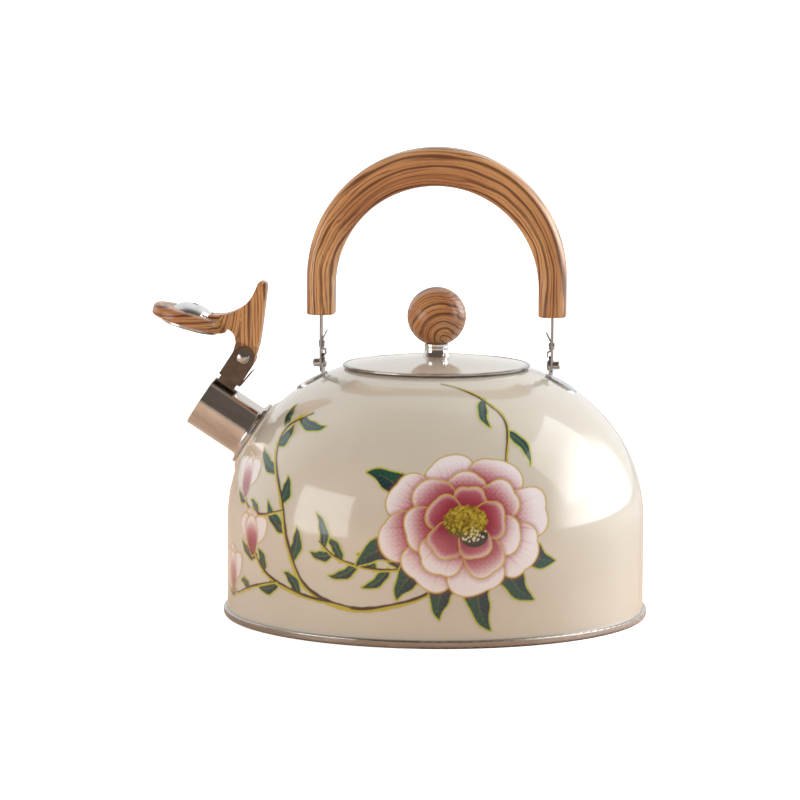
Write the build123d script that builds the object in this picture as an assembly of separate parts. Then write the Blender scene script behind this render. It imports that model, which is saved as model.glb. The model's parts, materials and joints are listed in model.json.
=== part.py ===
"""Stovetop whistling kettle, about 3 litres, as an assembly of separate pieces.

Frame: +Z up, origin at the centre of the ring that it stands on. The spout points towards -X, and the
handle swings about an axis along X. All sizes are in millimetres.
"""
import os
from math import acos, cos, pi, radians, sin, sqrt

from build123d import *

# ---- body: a drawn dome, closed below by a pan whose edge is rolled round it
RIM_R = 110.0            # outside radius of the rolled ring at the foot
RIM_H = 4.2              # its height
BODY_R = 108.1           # outside radius of the straight wall
BODY_WALL = 0.8
WALL_TOP_Z = 50.3        # where the straight wall turns into the shoulder
SHOULDER_R = 78.3        # radius of the shoulder's arc
SHOULDER_TURN = 43.6     # degrees that the shoulder's arc turns through
CROWN_R = 90.6           # radius of the crown's arc
BODY_FOOT_Z = 1.15       # lower edge of the wall, inside the rolled ring
OPENING_R = 46.0         # lid opening
NECK_LIP_Z = 124.0       # lower edge of the lip turned down inside the opening
FLOOR_Z = 2.4            # underside of the pan's floor
FLOOR_T = 0.8
FLOOR_R = 101.0
DISC_R = 84.0            # heat-spreading disc bonded under the floor
DISC_LOW_Z = 0.0

# ---- spout: a round tube on a flattened boss of the shoulder
SPOUT_ELEVATION = 33.0   # degrees above level
SPOUT_ROOT = (-95.0, 92.35)   # X and Z of the boss face's centre
BOSS_R = 18.7
BOSS_FOOT_R = 24.0
BOSS_DEPTH = 4.0
TUBE_R = 14.1
TUBE_WALL = 0.6
TUBE_LENGTH = 32.75      # from the boss face to the mouth
TUBE_INSIDE = 3.0        # how far the tube reaches into the body
COLLAR_R = 17.9
COLLAR_H = 2.2
COLLAR_FLARE = 2.0
BOSS_GAP = 0.25          # seam between the collar and the boss face

# ---- whistle bracket on the spout, and the flap's pivot
PIVOT_BACK = 6.5         # pivot behind the mouth, along the tube
PIVOT_UP = 31.1          # pivot above the tube's axis
SHEET = 0.8              # sheet that the bracket is bent from
EAR_GAP = 10.4           # between the two ears
EAR_WIDTH = 12.2
BRACKET_FLOOR = 18.1     # upper face of the bracket's floor above the tube's axis
PAD_WIDTH = 8.4          # pad that the floor is welded down with
PAD_LENGTH = 9.6
STOP_TAB_TOP = 27.5      # top of the rear tab above the tube's axis
STOP_TAB_LEAN = 1.2      # how far the rear tab's top leans back
FLAP_RIVET_R = 1.6
FLAP_RIVET_HEAD_R = 3.3
FLAP_RIVET_HEAD_H = 1.3

# ---- whistle flap, drawn in its own frame: u towards its tip, v away from the spout's mouth
FLAP_ANGLE = 15.5        # degrees by which the open flap rises from level
CAP_ENDS = (31.0, 34.2)  # centres of the cap's two round ends from the pivot
CAP_R = 18.4
CAP_V = (11.0, 15.2)     # web and upper rim of the cap
CAP_LIP_V = 8.7          # underside of the lip around the cap
CAP_ROUND = 2.6
LIP_ROUND = 1.6
WHISTLE_U = 31.8         # centre line of the whistle's discs from the pivot
WHISTLE_BORE_R = 10.6
PLATE_R = 14.9
PLATE_V = 6.85           # face that shuts the mouth
SOUND_HOLE_R = 1.5
DOME_TOP_V = 19.4
TAB_HALF = 6.4           # half the width of the thumb tab
HUB_HALF = 4.9           # half the width of the hub between the ears
HUB_R = 6.0

# ---- lid
LID_R = 48.6             # outside of the lid's steel edge
LID_Z = 129.15           # underside of that edge
LID_EDGE_H = 1.3
LID_RISE = 5.35          # crown of the lid above LID_Z
LID_T = 0.8
SKIRT_R = 45.2
SKIRT_T = 0.7
SKIRT_LOW_Z = 118.5

# ---- knob
KNOB_R = 15.2
KNOB_Z = 155.2           # centre of the ball
KNOB_FLAT_Z = 140.9      # flat that the ferrule meets
FERRULE_TOP_R = 6.3
FERRULE_FOOT_R = 7.6
SCREW_R = 2.0            # M4 screw
SCREW_HEAD_R = 4.0
SCREW_HEAD_H = 2.4
INSERT_R = 3.6
INSERT_LENGTH = 9.0

# ---- handle: a steel strap bent to an arch, with a grip moulded round it
PIVOT_Z = 130.3          # height of the axis that the handle swings about
STRAP_X = 59.9           # middle of the strap's thickness
STRAP_T = 1.0
STRAP_W = 10.0
STRAP_ARCH_Z = 172.6     # centre of the strap's arch
GRIP_OUT_R = 67.0
GRIP_OUT_Z = 175.6       # centre of the grip's outer arc
GRIP_IN_R = 52.8
GRIP_IN_Z = 170.0        # centre of the inner arc, lower, so that the grip is thickest on top
GRIP_END_Z = 155.8
GRIP_DEPTH = 20.0
GRIP_ROUND = 5.5

# ---- lugs, rivets and latch clips at the foot of the strap
EAR_T = 1.0
SIDE_GAP = 0.1           # running clearance between the ear, the strap and the rivet's head
FOOT_T = 1.0
FOOT_X = (56.7, 72.6)    # inner and outer end of the lug's foot
FOOT_W = 14.0
LUG_RIVET_R = 1.5
LUG_HEAD_R = 2.2
LUG_HEAD_H = 3.6
FORMED_HEAD_R = 2.6
FORMED_HEAD_H = 1.1
CLIP_T = 0.5
CLIP_W = 6.0
CLIP_RIVET_Z = 140.3
CLIP_RIVET_R = 1.0
CLIP_HEAD_R = 1.8
CLIP_HEAD_H = 0.7

RUNNING = 0.05           # radial clearance of a pin in its hole


def polygon(points):
    """Flat face in the XZ plane through these (x, z) points."""
    return Plane.XZ * make_face(Polyline(*points, close=True))


def outlined(lines):
    """Flat face in the XZ plane inside a closed chain of lines and arcs drawn in (x, z)."""
    return Plane.XZ * make_face(Wire([edge for line in lines for edge in line.edges()]))


def turned(points):
    """Solid turned about Z from a closed outline of (radius, height) points."""
    return revolve(polygon(points), Axis.Z)


def rod(radius, start, end):
    """Round bar between two points."""
    way = Vector(*end) - Vector(*start)
    return extrude(Plane(origin=start, z_dir=way) * Circle(radius), way.length)


def dome_points(inset, top_r):
    """Centres and turning points of the body's outline, moved inwards by inset."""
    turn = radians(SHOULDER_TURN)
    shoulder = Vector(BODY_R - SHOULDER_R, WALL_TOP_Z)
    crown = shoulder + Vector(cos(turn), sin(turn)) * (SHOULDER_R - CROWN_R)
    shoulder_r, crown_r = SHOULDER_R - inset, CROWN_R - inset
    middle = shoulder + Vector(cos(turn / 2), sin(turn / 2)) * shoulder_r
    joint = shoulder + Vector(cos(turn), sin(turn)) * shoulder_r
    last = acos((top_r - crown.X) / crown_r)
    top = crown + Vector(cos(last), sin(last)) * crown_r
    between = (turn + last) / 2
    crown_middle = crown + Vector(cos(between), sin(between)) * crown_r
    return middle, joint, crown_middle, top


def dome(inset, low_z, top_r=38.0):
    """Solid dome inside the body's outline moved inwards by inset, from low_z up to the radius top_r."""
    middle, joint, crown_middle, top = dome_points(inset, top_r)
    wall_r = BODY_R - inset
    outline = [
        Line((0, low_z), (wall_r, low_z)),
        Line((wall_r, low_z), (wall_r, WALL_TOP_Z)),
        ThreePointArc((wall_r, WALL_TOP_Z), middle, joint),
        ThreePointArc(joint, crown_middle, top),
        Line(top, (0, top.Y)),
        Line((0, top.Y), (0, low_z)),
    ]
    return revolve(outlined(outline), Axis.Z)


# The spout's frame: its origin is the centre of the boss face and its Z runs along the tube.
rise = radians(SPOUT_ELEVATION)
spout_plane = Plane(
    origin=(SPOUT_ROOT[0], 0, SPOUT_ROOT[1]),
    x_dir=(sin(rise), 0, cos(rise)),
    z_dir=(-cos(rise), 0, sin(rise)),
)
# In that frame X is up, square to the tube, and Y is level.


def make_body():
    """Dome with the spout's boss, the lid opening and the lip turned down inside it."""
    boss_slope = (BOSS_FOOT_R - BOSS_R) / BOSS_DEPTH

    def frustum(inset):
        low, high = -BOSS_DEPTH * 2, -inset
        side = inset * 1.2
        return spout_plane * turned([
            (0, low),
            (BOSS_R - side - low * boss_slope, low),
            (BOSS_R - side - high * boss_slope, high),
            (0, high),
        ])

    outer = dome(0, BODY_FOOT_Z) + frustum(0)
    inner = dome(BODY_WALL, BODY_FOOT_Z - 1) + frustum(BODY_WALL)
    lip = turned([
        (OPENING_R, NECK_LIP_Z),
        (OPENING_R + BODY_WALL, NECK_LIP_Z),
        (OPENING_R + BODY_WALL, 128.2),
        (OPENING_R, 128.2),
    ])
    shell = outer - inner + lip
    shell -= Pos(0, 0, 110) * Cylinder(OPENING_R, 60)
    return shell - spout_plane * Cylinder(TUBE_R, 40)


def make_base_pan():
    """Floor of the kettle, with its edge rolled into a ring that holds the foot of the wall."""
    groove_in, groove_out = BODY_R - BODY_WALL - 0.1, BODY_R + 0.1
    ring_round = 1.5
    start = [
        (0, FLOOR_Z),
        (FLOOR_R, FLOOR_Z),
        (FLOOR_R + 3.0, 0.5),
        (FLOOR_R + 3.8, 0),
        (RIM_R - ring_round, 0),
    ]
    finish = [
        (RIM_R - 0.8, RIM_H),
        (groove_out, RIM_H),
        (groove_out, BODY_FOOT_Z - 0.1),
        (groove_in, BODY_FOOT_Z - 0.1),
        (groove_in, FLOOR_Z + FLOOR_T + 1.4),
        (groove_in - 0.8, FLOOR_Z + FLOOR_T + 1.4),
        (FLOOR_R + 2.2, FLOOR_Z + FLOOR_T),
        (0, FLOOR_Z + FLOOR_T),
        (0, FLOOR_Z),
    ]
    corner = ring_round * (1 - sin(pi / 4))
    outline = [
        Polyline(*start),
        ThreePointArc(start[-1], (RIM_R - corner, corner), (RIM_R, ring_round)),
        Line((RIM_R, ring_round), (RIM_R, RIM_H - 0.8)),
        ThreePointArc((RIM_R, RIM_H - 0.8), (RIM_R - 0.25, RIM_H - 0.25), finish[0]),
        Polyline(*finish),
    ]
    return revolve(outlined(outline), Axis.Z)


def make_base_disc():
    """Heat-spreading disc bonded to the underside of the floor."""
    return turned([
        (0, DISC_LOW_Z),
        (DISC_R - 1.0, DISC_LOW_Z),
        (DISC_R, DISC_LOW_Z + 1.0),
        (DISC_R, FLOOR_Z),
        (0, FLOOR_Z),
    ])


def make_spout():
    """Drawn tube with a flared collar that lies on the boss."""
    bore_r = TUBE_R - TUBE_WALL
    flare_top = COLLAR_H + COLLAR_FLARE
    shoulder_r = TUBE_R + COLLAR_FLARE
    inward = COLLAR_FLARE * (1 - sin(pi / 4))
    outline = [
        Polyline(
            (TUBE_R - 0.05, -TUBE_INSIDE),
            (TUBE_R - 0.05, BOSS_GAP),
            (COLLAR_R - 0.4, BOSS_GAP),
            (COLLAR_R, BOSS_GAP + 0.5),
            (COLLAR_R, COLLAR_H - 0.6),
            (COLLAR_R - 0.6, COLLAR_H),
            (shoulder_r, COLLAR_H),
        ),
        ThreePointArc(
            (shoulder_r, COLLAR_H),
            (TUBE_R + inward, COLLAR_H + inward),
            (TUBE_R, flare_top),
        ),
        Polyline(
            (TUBE_R, flare_top),
            (TUBE_R, TUBE_LENGTH - 0.3),
            (TUBE_R - 0.3, TUBE_LENGTH),
            (bore_r, TUBE_LENGTH),
            (bore_r, -TUBE_INSIDE),
            (TUBE_R - 0.05, -TUBE_INSIDE),
        ),
    ]
    return spout_plane * revolve(outlined(outline), Axis.Z)


def make_bracket():
    """Channel bent from sheet on a welded pad: two ears for the rivet and a rear tab that stops the flap."""
    pivot_along = TUBE_LENGTH - PIVOT_BACK
    ear_y = EAR_GAP / 2 + SHEET / 2
    seat = BRACKET_FLOOR
    bracket = Pos(seat - SHEET / 2, 0, pivot_along) * Box(SHEET, EAR_GAP + 2 * SHEET, EAR_WIDTH)
    pad_height = seat - TUBE_R + 2.0
    bracket += Pos(seat - SHEET / 2 - pad_height / 2, 0, pivot_along) * Box(
        pad_height, PAD_WIDTH, PAD_LENGTH
    )
    for side in (-1, 1):
        ear = Pos((seat + PIVOT_UP) / 2, side * ear_y, pivot_along) * Box(
            PIVOT_UP - seat, SHEET, EAR_WIDTH
        )
        crown = Pos(PIVOT_UP, side * ear_y, pivot_along) * Rot(90, 0, 0) * Cylinder(
            EAR_WIDTH / 2, SHEET
        )
        bracket += ear + crown
    back = pivot_along - EAR_WIDTH / 2
    tab = polygon([
        (seat - SHEET, back),
        (seat, back),
        (STOP_TAB_TOP, back - STOP_TAB_LEAN),
        (STOP_TAB_TOP, back - STOP_TAB_LEAN - SHEET),
        (seat - SHEET, back - SHEET),
    ])
    bracket += extrude(tab, EAR_GAP / 2, both=True)
    bracket -= Pos(0, 0, pivot_along) * Cylinder(TUBE_R + 0.02, EAR_WIDTH * 2)
    bracket -= Pos(PIVOT_UP, 0, pivot_along) * Rot(90, 0, 0) * Cylinder(FLAP_RIVET_R, 30)
    return spout_plane * bracket


flap_pivot = (spout_plane * Pos(PIVOT_UP, 0, TUBE_LENGTH - PIVOT_BACK)).position
lean = radians(FLAP_ANGLE)
# The flap's frame: X is u, towards its tip, and Z is v, away from the mouth.
flap_plane = Plane(
    origin=flap_pivot, x_dir=(-cos(lean), 0, sin(lean)), z_dir=(sin(lean), 0, cos(lean))
)


def make_flap_rivet():
    """Rivet through both ears, with a domed head on each side."""
    outside = EAR_GAP / 2 + SHEET
    shank = Rot(90, 0, 0) * Cylinder(FLAP_RIVET_R, outside * 2)
    ball_r = (FLAP_RIVET_HEAD_R**2 + FLAP_RIVET_HEAD_H**2) / (2 * FLAP_RIVET_HEAD_H)
    ball = Pos(0, 0, FLAP_RIVET_HEAD_H - ball_r) * Sphere(ball_r)
    head = ball & Pos(0, 0, ball_r) * Box(20, 20, ball_r * 2)
    rivet = shank
    for turn in (90, -90):
        rivet += Rot(turn, 0, 0) * Pos(0, 0, outside) * head
    return Pos(*flap_pivot) * rivet


def at_whistle(shape):
    """Places a shape turned about its own Z on the whistle's centre line."""
    return flap_plane * Pos(WHISTLE_U, 0, 0) * shape


def make_flap():
    """Moulded flap: a rounded, lipped cap for the mouth, a hub between the ears and a thumb tab."""
    low, high = CAP_V
    side = [
        Spline((-1.6, 39.0), (-2.9, 31.0), (-4.0, 23.5), (-5.2, 15.0), (-5.9, 7.9), (-5.8, 1.6)),
        ThreePointArc((-5.8, 1.6), (0, -HUB_R), (HUB_R, 0)),
        Line((HUB_R, 0), (HUB_R, 5.0)),
        Spline((HUB_R, 5.0), (7.1, 9.2), (9.4, 11.4), (13.2, low + 1.0), (18.0, low + 1.0)),
        Line((18.0, low + 1.0), (31.0, low + 1.0)),
        Line((31.0, low + 1.0), (31.0, high - 0.1)),
        Spline(
            (31.0, high - 0.1), (24.0, 16.6), (16.7, 18.4), (11.1, 21.8), (6.1, 27.4), (3.7, 34.0), (3.1, 39.2)
        ),
        ThreePointArc((3.1, 39.2), (0.9, 40.9), (-1.6, 39.0)),
    ]
    arm = extrude(outlined(side), TAB_HALF, both=True)
    tab_mask = Pos(0, 0, 17) * extrude(
        Plane.YZ * RectangleRounded(TAB_HALF * 2, 48.4, TAB_HALF * 0.7), 60, both=True
    )
    arm &= tab_mask + Pos(0, 0, -4) * Box(80, TAB_HALF * 2, 30)
    for way in (-1, 1):
        cheek = TAB_HALF - HUB_HALF
        arm -= Pos(0, way * (HUB_HALF + cheek / 2), 0) * Box(40, cheek, 14.6)
    near, far = CAP_ENDS
    outline = SlotOverall(far - near + CAP_R * 2, CAP_R * 2)
    cap = Pos((near + far) / 2, 0, CAP_LIP_V) * extrude(outline, high - CAP_LIP_V)
    cap = fillet(cap.faces().sort_by(Axis.Z)[-1].edges(), CAP_ROUND)
    cap = fillet(cap.faces().sort_by(Axis.Z)[0].edges(), LIP_ROUND)
    lever = arm + cap
    lever -= Pos(WHISTLE_U, 0, 0) * Cylinder(WHISTLE_BORE_R, 60)
    recess = low + 2.3 - CAP_LIP_V
    lever -= Pos(WHISTLE_U, 0, low + 1.3 - recess / 2) * Cylinder(PLATE_R, recess)
    lever -= Rot(90, 0, 0) * Cylinder(FLAP_RIVET_R + RUNNING, 30)
    return flap_plane * lever


def make_whistle_plate():
    """Shallow steel pan in the underside of the cap, which shuts the mouth and lets steam through one hole."""
    wall = 0.6
    top = CAP_V[0] + 1.3
    return at_whistle(turned([
        (SOUND_HOLE_R, PLATE_V),
        (PLATE_R - 0.5, PLATE_V),
        (PLATE_R, PLATE_V + 0.5),
        (PLATE_R, top),
        (PLATE_R - wall, top),
        (PLATE_R - wall, PLATE_V + wall),
        (SOUND_HOLE_R, PLATE_V + wall),
    ]))


def make_whistle_disc():
    """Inner disc of the whistle, with the sound hole that faces the one in the dome."""
    middle = CAP_V[0] + 2.6
    return at_whistle(turned([
        (SOUND_HOLE_R, middle),
        (WHISTLE_BORE_R - 0.75, middle),
        (WHISTLE_BORE_R - 0.75, middle + 0.6),
        (SOUND_HOLE_R, middle + 0.6),
    ]))


def make_whistle_dome():
    """Outer dome of the whistle, pressed into the cap's bore."""
    wall = 0.7
    foot_v = CAP_V[0] + 2.0
    spring_v = CAP_V[1] - 0.2
    rise_v = DOME_TOP_V - spring_v
    bulge = (WHISTLE_BORE_R * 0.72, spring_v + rise_v * 0.66)
    outer = [
        Line((WHISTLE_BORE_R, foot_v), (WHISTLE_BORE_R, spring_v)),
        ThreePointArc((WHISTLE_BORE_R, spring_v), bulge, (SOUND_HOLE_R, DOME_TOP_V)),
        Line((SOUND_HOLE_R, DOME_TOP_V), (SOUND_HOLE_R, DOME_TOP_V - wall)),
        ThreePointArc(
            (SOUND_HOLE_R, DOME_TOP_V - wall),
            (bulge[0] - wall * 0.6, bulge[1] - wall),
            (WHISTLE_BORE_R - wall, spring_v - wall * 0.5),
        ),
        Line((WHISTLE_BORE_R - wall, spring_v - wall * 0.5), (WHISTLE_BORE_R - wall, foot_v)),
        Line((WHISTLE_BORE_R - wall, foot_v), (WHISTLE_BORE_R, foot_v)),
    ]
    return at_whistle(revolve(outlined(outer), Axis.Z))


def lid_dome_z(radius, inset=0.0):
    """Height of the lid's dome at a radius."""
    edge_r, edge_z = LID_R - 0.6, LID_Z + LID_EDGE_H - 0.3
    rise_z = LID_Z + LID_RISE - edge_z
    ball = (edge_r**2 + rise_z**2) / (2 * rise_z)
    return LID_Z + LID_RISE - ball + sqrt((ball - inset) ** 2 - radius**2)


def lid_sheet(inner_r, outer_r, outside, inside):
    """Sheet that follows the lid's dome between two radii, from outside to inside below its upper face."""
    middle = (inner_r + outer_r) / 2
    outline = [
        ThreePointArc(
            (inner_r, lid_dome_z(inner_r, outside)),
            (middle, lid_dome_z(middle, outside)),
            (outer_r, lid_dome_z(outer_r, outside)),
        ),
        Line((outer_r, lid_dome_z(outer_r, outside)), (outer_r, lid_dome_z(outer_r, inside))),
        ThreePointArc(
            (outer_r, lid_dome_z(outer_r, inside)),
            (middle, lid_dome_z(middle, inside)),
            (inner_r, lid_dome_z(inner_r, inside)),
        ),
        Line((inner_r, lid_dome_z(inner_r, inside)), (inner_r, lid_dome_z(inner_r, outside))),
    ]
    return revolve(outlined(outline), Axis.Z)


def make_lid_cover():
    """Painted dome of the lid."""
    return lid_sheet(SCREW_R + 0.2, LID_R - 1.0, 0, LID_T)


def make_lid_edge():
    """Bare steel edge rolled round the lid's cover."""
    ring = turned([
        (LID_R - 2.6, LID_Z),
        (LID_R - 0.5, LID_Z),
        (LID_R, LID_Z + 0.4),
        (LID_R, LID_Z + LID_EDGE_H - 0.3),
        (LID_R - 0.4, LID_Z + LID_EDGE_H),
        (LID_R - 1.8, LID_Z + LID_EDGE_H + 0.15),
        (LID_R - 2.6, LID_Z + 0.3),
    ])
    return ring - lid_sheet(20.0, LID_R - 1.0, 0, LID_T)


def make_lid_skirt():
    """Steel ring welded under the cover, which centres the lid in the opening."""
    inner_r = SKIRT_R - SKIRT_T
    top = lid_dome_z(SKIRT_R, LID_T)
    wall = turned([
        (inner_r, SKIRT_LOW_Z),
        (SKIRT_R - 0.3, SKIRT_LOW_Z),
        (SKIRT_R, SKIRT_LOW_Z + 0.4),
        (SKIRT_R, top),
        (inner_r, top),
    ])
    return wall + lid_sheet(SKIRT_R - 5.0, SKIRT_R, LID_T, LID_T + SKIRT_T)


def make_knob():
    """Moulded ball with a flat underneath and a bore for its insert."""
    ball = Pos(0, 0, KNOB_Z) * Sphere(KNOB_R)
    ball -= Pos(0, 0, KNOB_FLAT_Z - 10) * Cylinder(20, 20)
    return ball - rod(INSERT_R, (0, 0, KNOB_FLAT_Z - 1), (0, 0, KNOB_FLAT_Z + INSERT_LENGTH))


def make_insert():
    """Threaded brass insert in the knob."""
    bush = rod(INSERT_R, (0, 0, KNOB_FLAT_Z), (0, 0, KNOB_FLAT_Z + INSERT_LENGTH))
    return bush - rod(SCREW_R, (0, 0, KNOB_FLAT_Z - 1), (0, 0, KNOB_FLAT_Z + INSERT_LENGTH + 1))


def make_ferrule():
    """Bright metal collar between the lid and the knob, hollow round the screw."""
    foot = lid_dome_z(FERRULE_FOOT_R)
    outline = [
        Line((SCREW_R + 0.2, foot), (FERRULE_FOOT_R, foot)),
        ThreePointArc(
            (FERRULE_FOOT_R, foot),
            (FERRULE_TOP_R + 0.25, foot + 1.8),
            (FERRULE_TOP_R, KNOB_FLAT_Z - 1.0),
        ),
        Line((FERRULE_TOP_R, KNOB_FLAT_Z - 1.0), (FERRULE_TOP_R, KNOB_FLAT_Z)),
        Line((FERRULE_TOP_R, KNOB_FLAT_Z), (SCREW_R + 0.2, KNOB_FLAT_Z)),
        Line((SCREW_R + 0.2, KNOB_FLAT_Z), (SCREW_R + 0.2, foot)),
    ]
    collar = revolve(outlined(outline), Axis.Z)
    return collar - lid_sheet(SCREW_R + 0.2, LID_R - 1.0, 0, LID_T)


def make_knob_washer():
    """Plain washer under the screw's head."""
    top = lid_dome_z(5.0, LID_T)
    return turned([(SCREW_R + 0.1, top - 0.8), (5.0, top - 0.8), (5.0, top), (SCREW_R + 0.1, top)])


def make_knob_screw():
    """Pan-head screw from inside the lid into the knob's insert, with a cross recess."""
    seat = lid_dome_z(5.0, LID_T) - 0.8
    shank = rod(SCREW_R - 0.05, (0, 0, seat), (0, 0, KNOB_FLAT_Z + INSERT_LENGTH - 1.0))
    head = turned([
        (0, seat - SCREW_HEAD_H),
        (SCREW_HEAD_R - 1.0, seat - SCREW_HEAD_H),
        (SCREW_HEAD_R, seat - SCREW_HEAD_H + 1.0),
        (SCREW_HEAD_R, seat),
        (0, seat),
    ])
    screw = shank + head
    for turn in (0, 90):
        screw -= Pos(0, 0, seat - SCREW_HEAD_H) * Rot(0, 0, turn) * Box(4.4, 0.9, 2.4)
    return screw


def arch(radius, centre_z, foot_z, inner_radius, inner_centre_z):
    """Flat arch between an outer and an inner half circle, each with straight legs down to foot_z."""
    outline = [
        Line((-radius, foot_z), (-radius, centre_z)),
        ThreePointArc((-radius, centre_z), (0, centre_z + radius), (radius, centre_z)),
        Line((radius, centre_z), (radius, foot_z)),
        Line((radius, foot_z), (inner_radius, foot_z)),
        Line((inner_radius, foot_z), (inner_radius, inner_centre_z)),
        ThreePointArc(
            (inner_radius, inner_centre_z),
            (0, inner_centre_z + inner_radius),
            (-inner_radius, inner_centre_z),
        ),
        Line((-inner_radius, inner_centre_z), (-inner_radius, foot_z)),
        Line((-inner_radius, foot_z), (-radius, foot_z)),
    ]
    return outlined(outline)


def make_strap():
    """Steel strap that runs through the grip, with a rounded and drilled end at each pivot."""
    outside, inside = STRAP_X + STRAP_T / 2, STRAP_X - STRAP_T / 2
    strap = extrude(arch(outside, STRAP_ARCH_Z, PIVOT_Z, inside, STRAP_ARCH_Z), STRAP_W / 2, both=True)
    for side in (-1, 1):
        strap += rod(STRAP_W / 2, (side * inside, 0, PIVOT_Z), (side * outside, 0, PIVOT_Z))
        start, end = (side * (inside - 5), 0, PIVOT_Z), (side * (outside + 5), 0, PIVOT_Z)
        strap -= rod(LUG_RIVET_R + RUNNING, start, end)
        start, end = (side * (inside - 5), 0, CLIP_RIVET_Z), (side * (outside + 5), 0, CLIP_RIVET_Z)
        strap -= rod(CLIP_RIVET_R, start, end)
    return strap


def make_grip(strap):
    """Grip moulded round the strap: a rounded bar that thickens a little towards its top."""
    bar = extrude(
        arch(GRIP_OUT_R, GRIP_OUT_Z, GRIP_END_Z, GRIP_IN_R, GRIP_IN_Z), GRIP_DEPTH / 2, both=True
    )
    side_faces = bar.faces().sort_by(Axis.Y)
    long_edges = [
        edge
        for face in (side_faces[0], side_faces[-1])
        for edge in face.edges()
        if edge.center().Z > GRIP_END_Z + 0.1
    ]
    bar = fillet(long_edges, GRIP_ROUND)
    end_edges = [edge for edge in bar.edges() if abs(edge.center().Z - GRIP_END_Z) < 0.01]
    bar = fillet(end_edges, 0.8)
    return bar - strap


def on_side(side, shape):
    """Mirrors a shape built on the +X side to the side that is asked for."""
    return shape if side > 0 else mirror(shape, Plane.YZ)


def make_lug(side):
    """Lug of the handle: a foot welded on the shoulder and an upright ear for the rivet."""
    lift = 0.02
    plate = dome(-lift - FOOT_T, 60.0) - dome(-lift, 59.0)
    inner_x, outer_x = FOOT_X
    mask = Pos((inner_x + outer_x) / 2, 0, 110) * extrude(
        SlotOverall(outer_x - inner_x, FOOT_W - 0.01), 60, both=True
    )
    foot = plate & mask
    ear_x = STRAP_X - STRAP_T / 2 - SIDE_GAP - EAR_T / 2
    ear = Pos(ear_x, 0, PIVOT_Z - 7) * Box(EAR_T, STRAP_W, 14)
    ear += rod(STRAP_W / 2, (ear_x - EAR_T / 2, 0, PIVOT_Z), (ear_x + EAR_T / 2, 0, PIVOT_Z))
    lug = foot + (ear - dome(-lift, 59.0))
    lug -= rod(LUG_RIVET_R, (ear_x - 5, 0, PIVOT_Z), (ear_x + 5, 0, PIVOT_Z))
    return on_side(side, lug)


def make_lug_rivet(side):
    """Rivet that the strap turns on, with a tall head outside and a formed head inside."""
    strap_in, strap_out = STRAP_X - STRAP_T / 2, STRAP_X + STRAP_T / 2
    ear_in = strap_in - SIDE_GAP - EAR_T
    head_x = strap_out + SIDE_GAP
    rivet = rod(LUG_RIVET_R, (ear_in, 0, PIVOT_Z), (head_x, 0, PIVOT_Z))
    head = rod(LUG_HEAD_R, (head_x, 0, PIVOT_Z), (head_x + LUG_HEAD_H, 0, PIVOT_Z))
    head = chamfer(head.edges().sort_by(Axis.X)[-1], 0.5)
    formed = rod(FORMED_HEAD_R, (ear_in - FORMED_HEAD_H, 0, PIVOT_Z), (ear_in, 0, PIVOT_Z))
    formed = chamfer(formed.edges().sort_by(Axis.X)[0], 0.6)
    return on_side(side, rivet + head + formed)


def make_clip(side):
    """Spring clip on the strap: its lower finger grips the ear and its upper end flares as a thumb lift."""
    face_x = STRAP_X - STRAP_T / 2
    near, far = face_x, face_x - CLIP_T
    finger = face_x - SIDE_GAP - EAR_T - 0.4
    outline = polygon([
        (near, 137.6),
        (near, 142.8),
        (near - 2.3, 147.4),
        (near - 2.3 - CLIP_T, 147.2),
        (far, 142.6),
        (far, 138.2),
        (finger - CLIP_T, 137.5),
        (finger - CLIP_T, 134.6),
        (finger, 134.6),
        (finger, 137.0),
    ])
    clip = extrude(outline, CLIP_W / 2, both=True)
    clip -= rod(CLIP_RIVET_R, (face_x - 5, 0, CLIP_RIVET_Z), (face_x + 5, 0, CLIP_RIVET_Z))
    return on_side(side, clip)


def make_clip_rivet(side):
    """Small rivet that holds the clip to the strap."""
    inner_x = STRAP_X - STRAP_T / 2 - CLIP_T
    outer_x = STRAP_X + STRAP_T / 2
    rivet = rod(CLIP_RIVET_R, (inner_x, 0, CLIP_RIVET_Z), (outer_x, 0, CLIP_RIVET_Z))
    for start, end in ((inner_x - CLIP_HEAD_H, inner_x), (outer_x, outer_x + CLIP_HEAD_H)):
        rivet += rod(CLIP_HEAD_R, (start, 0, CLIP_RIVET_Z), (end, 0, CLIP_RIVET_Z))
    return on_side(side, rivet)


def main():
    """Builds every piece and writes each one to its own STEP file."""
    strap = make_strap()
    pieces = {
        "body_shell": make_body(),
        "base_pan": make_base_pan(),
        "heat_disc": make_base_disc(),
        "spout_tube": make_spout(),
        "whistle_bracket": make_bracket(),
        "flap_rivet": make_flap_rivet(),
        "whistle_flap": make_flap(),
        "whistle_plate": make_whistle_plate(),
        "whistle_disc": make_whistle_disc(),
        "whistle_dome": make_whistle_dome(),
        "lid_cover": make_lid_cover(),
        "lid_edge": make_lid_edge(),
        "lid_skirt": make_lid_skirt(),
        "lid_knob": make_knob(),
        "knob_insert": make_insert(),
        "knob_ferrule": make_ferrule(),
        "knob_washer": make_knob_washer(),
        "knob_screw": make_knob_screw(),
        "handle_strap": strap,
        "handle_grip": make_grip(strap),
    }
    for name, side in (("left", -1), ("right", 1)):
        pieces[f"handle_lug_{name}"] = make_lug(side)
        pieces[f"lug_rivet_{name}"] = make_lug_rivet(side)
        pieces[f"latch_clip_{name}"] = make_clip(side)
        pieces[f"clip_rivet_{name}"] = make_clip_rivet(side)
    os.makedirs("parts", exist_ok=True)
    for name, shape in pieces.items():
        export_step(shape, f"parts/{name}.step")


main()
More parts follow.
